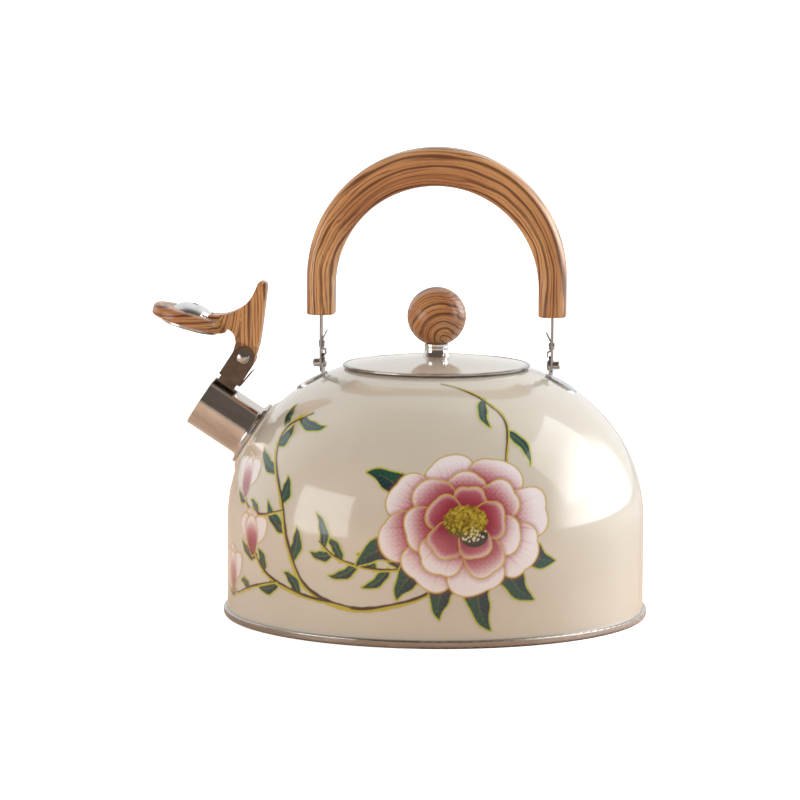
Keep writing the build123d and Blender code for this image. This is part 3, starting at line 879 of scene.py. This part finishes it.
VINES = (
    Vine(((6.0, 36.0), (-8.0, 23.0), (-24.0, 18.5), (-38.0, 28.0), (-44.0, 48.0), (-48.0, 70.0),
          (-57.0, 92.0), (-60.0, 108.0), (-52.0, 119.0)), 1.05, 7, 18.0, 3.5, 0.42),
    Vine(((2.5, 149.5), (12.0, 144.0), (21.0, 132.0), (25.0, 116.0), (20.0, 88.0)), 0.65, 2, 21.0, 2.6, 0.30),
    Vine(((-6.0, 40.0), (-16.0, 39.0), (-27.0, 43.0), (-33.0, 51.0)), 0.6, 7, 15.0, 2.7, 0.05),
    Vine(((-24.0, 19.0), (-42.0, 24.0), (-54.0, 32.0), (-60.0, 44.0)), 0.85, 4, 15.0, 3.1, 0.2),
    Vine(((-46.5, 64.0), (-56.0, 60.0), (-64.0, 63.0), (-68.0, 71.0)), 0.6, 2, 11.0, 2.2, 0.2),
    Vine(((-48.0, 27.5), (-60.0, 22.0), (-70.0, 16.0), (-74.0, 21.0)), 0.6, 2, 11.0, 2.2, 0.2),
)


def softstep(low: float, high: float, value: np.ndarray) -> np.ndarray:
    """Smooth step from 0 at low to 1 at high.

    Args:
        low: Value that gives 0.
        high: Value that gives 1.
        value: The input.

    Returns:
        The smooth step.
    """
    share = np.clip((value - low) / (high - low), 0.0, 1.0)
    return share * share * (3.0 - 2.0 * share)


def blended(low: np.ndarray, high: np.ndarray, share: np.ndarray) -> np.ndarray:
    """Mixes colours, for each point.

    Args:
        low: Colour where the share is 0, one for all points or one for each.
        high: Colour where the share is 1.
        share: Share of the second colour.

    Returns:
        The colours, one for each point.
    """
    return low * (1 - share[:, None]) + high * share[:, None]


def smooth_path(points: np.ndarray, per_span: int = 14) -> np.ndarray:
    """Smooth line through points.

    Args:
        points: The points.
        per_span: Samples between neighbours.

    Returns:
        The line's points.
    """
    padded = np.vstack([2 * points[0] - points[1], points, 2 * points[-1] - points[-2]])
    share = np.linspace(0.0, 1.0, per_span, endpoint=False)[:, None]
    spans = []
    for a, b, c, d in zip(padded[:-3], padded[1:-2], padded[2:-1], padded[3:]):
        spans.append(0.5 * (2 * b + (c - a) * share + (2 * a - 5 * b + 4 * c - d) * share**2
                            + (3 * b - a - 3 * c + d) * share**3))
    return np.vstack([*spans, points[-1:]])


@dataclass(frozen=True)
class BodySide:
    """The body's outline: a straight wall, a shoulder arc and a crown arc, in millimetres."""

    wall_r: float = 108.1
    wall_top: float = 50.3
    shoulder_r: float = 78.3
    shoulder_turn: float = math.radians(43.6)
    crown_r: float = 90.6

    def at(self, heights: np.ndarray) -> tuple[np.ndarray, np.ndarray]:
        """Finds the outline's radius and height.

        Args:
            heights: Distance up along the side from the floor.

        Returns:
            Radius and height of each place.
        """
        up = np.asarray(heights, float)
        turn = np.clip((up - self.wall_top) / self.shoulder_r, 0.0, self.shoulder_turn)
        radius = self.wall_r - self.shoulder_r * (1 - np.cos(turn))
        height = np.minimum(up, self.wall_top) + self.shoulder_r * np.sin(turn)
        end = self.wall_top + self.shoulder_r * self.shoulder_turn
        more = self.shoulder_turn + np.maximum(up - end, 0.0) / self.crown_r
        radius = radius + self.crown_r * (np.cos(more) - math.cos(self.shoulder_turn))
        height = height + self.crown_r * (np.sin(more) - math.sin(self.shoulder_turn))
        return radius, height


class Artwork:
    """Colours and coverage of the print at points laid out on the body's side."""

    def __init__(self, profile: BodySide, angles: np.ndarray, heights: np.ndarray) -> None:
        """Starts with bare enamel.

        Args:
            profile: The body's side.
            angles: Degrees round the body from its printed middle, one for each point.
            heights: Millimetres up along the side, one for each point.
        """
        self.profile = profile
        self.x, self.y = self.flat(angles, heights)
        self.colour = np.zeros((len(self.x), 3))
        self.cover = np.zeros(len(self.x))
        self.grain = 0.5 + 0.25 * np.sin(self.x * 2.3 + 1.7 * np.sin(self.y * 1.9)) \
            + 0.25 * np.sin(self.y * 2.9 + 1.3 * np.sin(self.x * 2.1))

    def flat(self, angles: np.ndarray, heights: np.ndarray) -> tuple[np.ndarray, np.ndarray]:
        """Lays places on the body out flat.

        Args:
            angles: Degrees round the body.
            heights: Millimetres up along its side.

        Returns:
            Millimetres across and up.
        """
        radius, _ = self.profile.at(heights)
        return np.radians(angles) * radius, np.asarray(heights, float)

    def spot(self, place: Span) -> Span:
        """Lays one place on the body out flat.

        Args:
            place: Degrees round the body and millimetres up its side.

        Returns:
            Millimetres across and up.
        """
        x, y = self.flat(np.array([place[0]]), np.array([place[1]]))
        return float(x[0]), float(y[0])

    def lay(self, here: np.ndarray, amount: np.ndarray, colour: np.ndarray) -> None:
        """Lays ink over what is there.

        Args:
            here: Indices of the points.
            amount: Coverage of the ink, 0 to 1.
            colour: Its colour, one for all points or one for each.
        """
        under = self.cover[here] * (1.0 - amount)
        total = amount + under
        keep = np.where(total > 1e-6, total, 1.0)[:, None]
        self.colour[here] = (self.colour[here] * under[:, None] + colour * amount[:, None]) / keep
        self.cover[here] = total

    def petal(self, heart: Span, petal: Petal, faint: float) -> None:
        """Paints a petal with a blushed foot, fine streaks, a shadow below it and a gold edge.

        Args:
            heart: Middle of the bloom, laid out flat.
            petal: The petal.
            faint: Strength of the ink.
        """
        dx, dy = self.x - heart[0] - petal.across, self.y - heart[1] - petal.up
        here = np.nonzero(dx * dx + dy * dy < (0.72 * max(petal.length, petal.width) + 3.0) ** 2)[0]
        if not len(here):
            return
        dx, dy = dx[here], dy[here]
        c, s = math.cos(math.radians(petal.turn)), math.sin(math.radians(petal.turn))
        along = (dx * c + dy * s) / (petal.length / 2)
        side = (dy * c - dx * s) / (petal.width / 2)
        # outline: a squarish round that is wider towards its tip, with lobes notched into the tip
        wide = 0.80 + 0.26 * along - 0.10 * along * along
        round_way = np.arctan2(side, along)
        reach = (np.abs(along) ** 2.4 + np.abs(side / wide) ** 2.4) ** (1 / 2.4)
        tip = softstep(-0.5, 0.5, along)
        wave = np.abs(np.sin(round_way * petal.lobes * 0.5 + petal.turn)) - 0.6
        reach = reach * (1.0 - petal.ruffle * wave * tip)
        depth = (1.0 - reach) * min(petal.length, petal.width) / 2
        body = softstep(-0.25, 0.25, depth)
        # shadow on the petals below
        shade = softstep(-2.4, 0.0, depth) * (1 - body) * 0.35 * (self.cover[here] > 0.3)
        self.lay(here, shade * faint, Ink.CRIMSON.tint)
        # red from the foot upwards, pale at the tip
        foot = (along + 1.0) / 2
        flow = foot + 0.05 * (self.grain[here] - 0.5) + 0.10 * side * side
        rose = 1.0 - softstep(petal.blush - 0.34, petal.blush + 0.12, flow)
        deep = 1.0 - softstep(petal.blush - 0.62, petal.blush - 0.04, flow)
        tint = blended(Ink.PALE.tint, Ink.LILAC.tint, 0.3 * (1 - foot))
        tint = blended(tint, Ink.ROSE.tint, rose)
        tint = blended(tint, Ink.CRIMSON.tint, deep)
        # fine streaks that fan out from the foot, and a light band inside the edge
        fan = np.arctan2(side * petal.width, (along + 1.25) * petal.length)
        comb = np.abs(np.sin(fan * 26.0 + 1.5 * np.sin(fan * 11.0)))
        line = (1 - softstep(0.0, 0.48, comb)) * softstep(1.0, 0.35, foot) * softstep(0.05, 0.3, foot)
        tint = blended(tint, Ink.CRIMSON.tint * 1.15, np.clip(line * petal.streaks, 0, 1))
        tint = blended(tint, Ink.SHEEN.tint, softstep(2.6, 0.6, depth) * 0.35 * softstep(0.35, 0.9, foot))
        self.lay(here, body * faint, tint)
        # gold edge
        rim = softstep(-0.4, 0.0, depth) * softstep(0.7, 0.3, depth)
        self.lay(here, rim * 0.95 * faint, Ink.GOLD.tint)

    def along_path(self, line: np.ndarray, reach: float) -> tuple[np.ndarray, np.ndarray, np.ndarray, float]:
        """Finds where points lie beside a line.

        Args:
            line: The line's points, laid out flat.
            reach: Farthest distance that counts, in millimetres.

        Returns:
            Indices, distance along the line, signed distance beside it, and the line's length.
        """
        step = np.diff(line, axis=0)
        size = np.maximum(np.hypot(step[:, 0], step[:, 1]), 1e-9)
        begun = np.concatenate([[0.0], np.cumsum(size)])
        low, high = line.min(0) - reach, line.max(0) + reach
        here = np.nonzero((self.x > low[0]) & (self.x < high[0]) & (self.y > low[1]) & (self.y < high[1]))[0]
        best = np.full(len(here), 1e9)
        place, beside = np.zeros(len(here)), np.zeros(len(here))
        for index, (start, way, long) in enumerate(zip(line[:-1], step, size)):
            dx, dy = self.x[here] - start[0], self.y[here] - start[1]
            share = np.clip((dx * way[0] + dy * way[1]) / (long * long), 0.0, 1.0)
            ex, ey = dx - share * way[0], dy - share * way[1]
            far = np.hypot(ex, ey)
            near = far < best
            best[near] = far[near]
            place[near] = begun[index] + share[near] * long
            turn = way[0] * dy - way[1] * dx
            beside[near] = np.sign(turn[near]) * far[near]
        return here, place, beside, begun[-1]

    def leaf(self, foot: np.ndarray, heading: float, length: float, half: float, curl: float) -> None:
        """Paints a leaf: teal to navy, a lit midrib and a lime edge.

        Args:
            foot: Where it grows from, laid out flat.
            heading: The way it sets off, in degrees.
            length: Its length in millimetres.
            half: Half its width.
            curl: Degrees that it turns along its length.
        """
        ways = np.radians(heading + curl * np.linspace(0.0, 1.0, 12) ** 1.5)
        steps = np.stack([np.cos(ways), np.sin(ways)], 1) * length / 12
        line = foot + np.vstack([[0.0, 0.0], np.cumsum(steps, axis=0)])
        here, place, beside, long = self.along_path(line, half + 1.5)
        share = place / long
        swell = np.sin(np.pi * np.clip(share * 0.93 + 0.05, 0, 1) ** 0.72) ** 0.85
        wave = 1.0 + 0.12 * np.sin(share * 13.0 + heading + 1.5 * np.sign(beside))
        depth = half * swell * wave - np.abs(beside)
        body = softstep(-0.22, 0.22, depth)
        blue = softstep(-0.35, 0.45, beside / half + (self.grain[here] - 0.5) * 0.8)
        tint = blended(Ink.TEAL.tint, Ink.NAVY.tint, blue)
        midrib = softstep(0.5, 0.1, np.abs(beside)) * 0.30 * softstep(1.0, 0.5, share)
        vein = (1 - softstep(0.0, 0.3, np.abs(np.sin(share * long * 0.9 - np.abs(beside) * 0.9)))) * 0.16
        tint = blended(tint, Ink.LIME.tint * 0.55, np.clip(midrib + vein, 0, 1))
        edge = softstep(-0.85, -0.35, depth) * softstep(0.8, 0.3, depth)
        self.lay(here, edge, Ink.LIME.tint)
        self.lay(here, body * softstep(0.05, 0.5, depth), tint)

    def vine(self, vine: Vine) -> None:
        """Paints a stem with a dark core and a gold light side, over its leaves.

        Args:
            vine: The stem.
        """
        given = np.array(vine.places, float)
        line = smooth_path(np.stack(self.flat(given[:, 0], given[:, 1]), 1))
        for index in range(vine.leaves):
            share = vine.first_leaf + (1.0 - vine.first_leaf) * (index + 0.5) / vine.leaves
            at = int(share * (len(line) - 2))
            way = line[at + 1] - line[at]
            hand = 1.0 if index % 2 else -1.0
            heading = math.degrees(math.atan2(way[1], way[0])) + 52.0 * hand
            length = vine.leaf_length * (1.0 + 0.2 * math.sin(index * 2.4))
            self.leaf(line[at], heading, length, vine.leaf_half, -48.0 * hand)
        here, place, beside, long = self.along_path(line, vine.half + 1.5)
        share = place / long
        half = vine.half * (0.45 + 0.55 * np.sin(np.pi * np.clip(share, 0.02, 0.98)) ** 0.5)
        half = half * (1.0 + 0.07 * np.sin(place * 0.8))
        depth = half * 1.5 - np.abs(beside)
        body = softstep(-0.28, 0.18, depth)
        gold = softstep(-0.35, 0.35, beside / half + 0.35 * np.sin(place * 0.21))
        self.lay(here, body, blended(Ink.BARK.tint, Ink.STRAW.tint, gold))

    def dot(self, here: np.ndarray, far: np.ndarray, size: Span, strength: float, ink: Ink) -> None:
        """Paints a soft dot.

        Args:
            here: Indices of the points.
            far: Their distance from the dot's middle.
            size: Radii where the dot ends and where it is full.
            strength: Strength of the ink.
            ink: The ink.
        """
        self.lay(here, softstep(*size, far) * strength, ink.tint)

    def stamens(self, heart: Span) -> None:
        """Paints a bloom's heart: a cushion of ochre and straw dots over a dark eye with cream dots.

        Args:
            heart: Middle of the bloom, laid out flat.
        """
        dx, dy = self.x - heart[0], self.y - heart[1]
        here = np.nonzero((np.abs(dx) < 16) & (np.abs(dy) < 14))[0]
        dx, dy = dx[here], dy[here]
        draw = np.random.default_rng(STAMEN_SEED)
        eye = 1.0 - np.hypot((dx - 4.5) / 7.0, (dy + 6.0) / 5.5)
        self.lay(here, softstep(-0.08, 0.08, eye), Ink.UMBER.tint)
        pad = 1.0 - np.hypot(dx / 11.0, (dy - 1.2) / 8.2) + 0.05 * np.sin(np.arctan2(dy, dx) * 14.0)
        tint = blended(Ink.OLIVE.tint, Ink.OCHRE.tint, softstep(-6.0, 6.0, dy + dx * 0.2))
        self.lay(here, softstep(-0.05, 0.05, pad) * 0.97, tint)
        for _ in range(CUSHION_DOTS):
            turn, far = draw.uniform(0, 2 * math.pi), math.sqrt(draw.uniform(0, 1))
            px, py = 10.6 * far * math.cos(turn), 1.2 + 7.8 * far * math.sin(turn)
            bright = draw.uniform(0.55, 1.0)
            ink = Ink.OLIVE if draw.uniform() < 0.35 else Ink.STRAW
            self.dot(here, np.hypot(dx - px, dy - py), (0.85, 0.35), bright, ink)
        for _ in range(EYE_DOTS):
            px, py = 4.6 + draw.normal(0, 2.8), -6.2 + draw.normal(0, 1.9)
            self.dot(here, np.hypot(dx - px, dy - py), (0.75, 0.3), 1.0, Ink.CREAM)

    def bloom(self, place: Span, rings: tuple[Ring, ...], flatten: float, faint: float) -> Span:
        """Paints a bloom's petals, the outer rings first.

        Args:
            place: Its heart in degrees and millimetres.
            rings: Its rings of petals.
            flatten: Height of the rings for their width.
            faint: Strength of the ink.

        Returns:
            Its heart, laid out flat.
        """
        draw = np.random.default_rng(PETAL_SEED)
        heart = self.spot(place)
        for ring in rings:
            for petal in ring.petals(draw, flatten):
                self.petal(heart, petal, faint)
        return heart

    def paint(self) -> None:
        """Paints the whole print, from the back to the front."""
        for vine in VINES:
            self.vine(vine)
        for bud in BUDS:
            self.bloom(bud, BUD, 1.0, 0.85)
        for index, turn in enumerate(SEPALS):
            way = np.array([math.cos(math.radians(turn)), math.sin(math.radians(turn))])
            foot = self.spot(HEART) + way * SEPAL_RING
            length = SEPAL_LENGTH + 4.0 * math.sin(index * 1.9)
            self.leaf(foot, turn + SEPAL_LEAN, length, SEPAL_HALF, SEPAL_CURL)
        self.stamens(self.bloom(HEART, BLOOM, 0.77, 1.0))


@dataclass(frozen=True)
class Patch:
    """The stretch of the body that a printed sheet covers."""

    name: str
    angles: Span
    heights: Span


PATCHES = (
    Patch("bloom_print", (-34.0, 46.0), (8.0, 152.0)),
    Patch("vine_print", (-86.0, -34.0), (8.0, 126.0)),
)


@dataclass
class FloralPrint:
    """Printed flowers as thin sheets of fired ink on the body, one set on each side."""

    heading: float = HEADING
    proud: float = 0.09
    cell: float = 0.40
    least_cover: float = 0.02
    colour_name: str = "print_colour"
    cover_name: str = "print_cover"
    side: BodySide = BodySide()

    def wrapped(self, degrees: np.ndarray, up: np.ndarray, back: bool) -> np.ndarray:
        """Finds where places on the print lie on the kettle, a little proud of the enamel.

        Args:
            degrees: Degrees round the body from the print's middle.
            up: Millimetres up along its side.
            back: Whether it is the mirrored print on the far side.

        Returns:
            The places, in metres.
        """
        radius, height = self.side.at(up)
        next_radius, next_height = self.side.at(up + 0.01)
        outward = np.stack([next_height - height, radius - next_radius], 1)
        outward = outward / np.hypot(outward[:, 0], outward[:, 1])[:, None]
        radius = radius + outward[:, 0] * self.proud
        height = height + outward[:, 1] * self.proud
        turn = np.radians(degrees + self.heading)
        flip = 1.0 if back else -1.0
        return np.stack([radius * np.sin(turn), flip * radius * np.cos(turn), height], 1) * MM

    def trim(self, piece: bpy.types.Object, cover: np.ndarray, back: bool) -> None:
        """Deletes the faces that hold no ink, and turns the rest outwards.

        Args:
            piece: The sheet, selected and active.
            cover: Coverage of the ink at each of its corners.
            back: Whether it is the mirrored print, whose faces start inwards.
        """
        mesh = piece.data
        corners = np.zeros(len(mesh.loops), dtype=np.int32)
        mesh.loops.foreach_get("vertex_index", corners)
        inked = cover[corners].reshape(-1, 4).max(1) > self.least_cover
        bpy.ops.object.mode_set(mode="EDIT")
        bpy.ops.mesh.select_all(action="DESELECT")
        bpy.ops.object.mode_set(mode="OBJECT")
        mesh.polygons.foreach_set("select", ~inked)
        bpy.ops.object.mode_set(mode="EDIT")
        bpy.ops.mesh.select_mode(type="FACE")
        bpy.ops.mesh.delete(type="FACE")
        bpy.ops.mesh.select_all(action="SELECT")
        if back:
            bpy.ops.mesh.flip_normals()
        bpy.ops.object.mode_set(mode="OBJECT")
        bpy.ops.object.shade_smooth()

    def sheet(self, patch: Patch, back: bool, material: bpy.types.Material) -> None:
        """Builds one printed sheet.

        Args:
            patch: The stretch of the body that it covers.
            back: Whether it is the mirrored sheet on the far side.
            material: Its material.
        """
        wide = patch.angles[1] - patch.angles[0]
        high = patch.heights[1] - patch.heights[0]
        across = int(math.radians(wide) * self.side.wall_r / self.cell)
        clear_selection()
        bpy.ops.mesh.primitive_grid_add(x_subdivisions=across, y_subdivisions=int(high / self.cell), size=2.0,
                                        location=(0, 0, 0))
        piece = bpy.context.object
        piece.name = f"{patch.name}_{'back' if back else 'front'}"
        mesh = piece.data
        grid = np.zeros(len(mesh.vertices) * 3)
        mesh.vertices.foreach_get("co", grid)
        grid = (grid.reshape(-1, 3) + 1) / 2
        degrees = patch.angles[0] + grid[:, 0] * wide
        up = patch.heights[0] + grid[:, 1] * high
        art = Artwork(self.side, degrees, up)
        art.paint()
        mesh.vertices.foreach_set("co", self.wrapped(degrees, up, back).ravel())
        inks = mesh.color_attributes.new(self.colour_name, "FLOAT_COLOR", "POINT")
        inks.data.foreach_set("color", np.hstack([art.colour, np.ones((len(art.colour), 1))]).ravel())
        cover = mesh.attributes.new(self.cover_name, "FLOAT", "POINT")
        cover.data.foreach_set("value", art.cover)
        self.trim(piece, art.cover, back)
        mesh.materials.append(material)
        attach(piece, "vessel")
        LOG.info("%s: %d faces", piece.name, len(mesh.polygons))

    def build(self, effects: Effects) -> None:
        """Builds the sheets on both sides.

        Args:
            effects: The shared node groups.
        """
        material = Print("floral_print", self.colour_name, self.cover_name, CREAM).material(effects)
        for back in (False, True):
            for patch in PATCHES:
                self.sheet(patch, back, material)


# ---------------------------------------------------------------- studio
@dataclass(frozen=True)
class Lamp:
    """A soft rectangular light, placed by degrees from the camera towards its right and by metres."""

    name: str
    azimuth: float
    height: float
    reach: float
    size: Span
    radiance: float
    tint: Colour
    glossy: bool = True


LAMPS = (
    Lamp("key", 98.0, 0.85, 1.25, (1.2, 1.0), 1.7, (0.97, 0.99, 1.0)),
    Lamp("window", -64.0, 0.18, 1.2, (0.74, 0.78), 2.7, (0.98, 0.99, 1.0)),
    Lamp("fill", -20.0, 1.3, 1.6, (1.4, 1.0), 2.9, (1.0, 0.98, 0.95), glossy=False),
)
WHITE = (1.0, 1.0, 1.0)


@dataclass
class Studio:
    """Camera, plain floor, soft lights, and a room that is bright behind the kettle and dim in front."""

    heading: float = HEADING
    distance: float = 2.2642
    offset: float = -0.01878
    camera_z: float = 0.3892
    aim_z: float = 0.11136
    lens: float = 198.0
    roll: float = 0.281
    floor_size: float = 80.0
    lit_height: float = 0.09
    table: Colour = (0.93, 0.92, 0.91)
    table_glow: Colour = (0.80, 0.58, 0.44)
    room_back: Colour = (0.95, 0.95, 0.95)
    room_front: Colour = (0.14, 0.12, 0.10)
    low_front: Colour = (0.62, 0.57, 0.52)
    side_glow: Colour = (5.2, 5.35, 5.5)

    def direction(self, azimuth: float, height: float, reach: float) -> Vector:
        """A point around the kettle.

        Args:
            azimuth: Degrees from the camera's side towards its right.
            height: Height in metres.
            reach: Distance from the kettle's axis in metres.

        Returns:
            The point.
        """
        turn = math.radians(self.heading + azimuth)
        return Vector((math.sin(turn) * reach, -math.cos(turn) * reach, height))

    def build_camera(self) -> None:
        """Adds the camera."""
        turn = math.radians(self.heading)
        right = Vector((math.cos(turn), math.sin(turn), 0.0))
        place = self.direction(0.0, self.camera_z, self.distance) + right * self.offset
        aim = right * self.offset + Vector((0.0, 0.0, self.aim_z))
        data = bpy.data.cameras.new("Camera")
        data.lens = self.lens
        data.sensor_width = 36.0
        data.clip_end = 120.0
        camera = bpy.data.objects.new("Camera", data)
        bpy.context.scene.collection.objects.link(camera)
        look = (aim - place).to_track_quat("-Z", "Y")
        camera.rotation_mode = "QUATERNION"
        camera.rotation_quaternion = look @ Quaternion((0.0, 0.0, 1.0), math.radians(self.roll))
        camera.location = place
        bpy.context.scene.camera = camera

    def build_floor(self) -> None:
        """Adds a plain pale floor, which is warmer on the left where the kettle reflects it."""
        clear_selection()
        bpy.ops.mesh.primitive_plane_add(size=self.floor_size, location=(0.0, 0.0, 0.0))
        floor = bpy.context.object
        floor.name = "studio_floor"
        material, sheet, shader, place = start_material("studio_floor")
        tone = sheet.ramp(sheet.noise(place, 1.5, 2.0), 0.3, 0.7)
        pale = sheet.mix(tone, (0.90, 0.895, 0.89), (0.92, 0.915, 0.91))
        seen = sheet.node("ShaderNodeLightPath").outputs["Is Camera Ray"]
        glow = sheet.mix(sheet.ramp(sheet.apart(place)[0], 0.0, 0.5), self.table_glow, self.table)
        sheet.join(sheet.mix(seen, glow, pale), shader.inputs["Base Color"])
        shader.inputs["Roughness"].default_value = 0.6
        shader.inputs["Specular IOR Level"].default_value = 0.1
        sheet.join(WHITE, shader.inputs["Emission Color"])
        sheet.join(sheet.math("MULTIPLY", seen, 0.8), shader.inputs["Emission Strength"])
        floor.data.materials.append(material)

    def build_light(self, lamp: Lamp) -> None:
        """Adds a light that faces the kettle.

        Args:
            lamp: The light.
        """
        data = bpy.data.lights.new(lamp.name, "AREA")
        data.shape = "RECTANGLE"
        data.size, data.size_y = lamp.size
        data.energy = lamp.radiance * math.pi * lamp.size[0] * lamp.size[1]
        data.color = lamp.tint
        light = bpy.data.objects.new(lamp.name, data)
        bpy.context.scene.collection.objects.link(light)
        light.location = self.direction(lamp.azimuth, lamp.height, lamp.reach)
        aim = Vector((0.0, 0.0, self.lit_height)) - light.location
        light.rotation_mode = "QUATERNION"
        light.rotation_quaternion = aim.to_track_quat("-Z", "Y")
        light.visible_glossy = lamp.glossy

    def build_world(self) -> None:
        """Adds a room that is bright behind the kettle, dim in front of it and glowing on its right."""
        world = bpy.data.worlds.new("Studio")
        bpy.context.scene.world = world
        world.use_nodes = True
        sheet = Sheet(world.node_tree)
        x, y, z = sheet.apart(sheet.node("ShaderNodeTexCoord").outputs["Generated"])
        behind = sheet.ramp(y, -0.25, 0.45)
        low = sheet.math("MULTIPLY", sheet.ramp(z, 0.10, 0.0), sheet.math("SUBTRACT", 1.0, behind))
        right = sheet.ramp(sheet.math("MULTIPLY_ADD", y, 0.35, x), 0.78, 1.03)
        room = sheet.mix(behind, self.room_front, self.room_back)
        room = sheet.mix(low, room, self.low_front)
        room = sheet.mix(right, room, self.side_glow)
        seen = sheet.node("ShaderNodeLightPath").outputs["Is Camera Ray"]
        sheet.join(sheet.mix(seen, room, WHITE), world.node_tree.nodes["Background"].inputs["Color"])

    def build(self) -> None:
        """Adds everything around the kettle."""
        self.build_camera()
        self.build_floor()
        self.build_world()
        for lamp in LAMPS:
            self.build_light(lamp)
        bpy.context.scene.view_settings.view_transform = "Standard"


def main() -> None:
    """Builds the kettle's looks, sub-assembly by sub-assembly, and the studio."""
    logging.basicConfig(level=logging.INFO, format="%(message)s")
    effects = Effects()
    for part in (Vessel(), Spout(), Whistle(), Lid(), Handle(), FloralPrint()):
        part.build(effects)
        LOG.info("built %s", type(part).__name__)
    Studio().build()
    clear_selection()


if __name__ == "__main__":
    main()
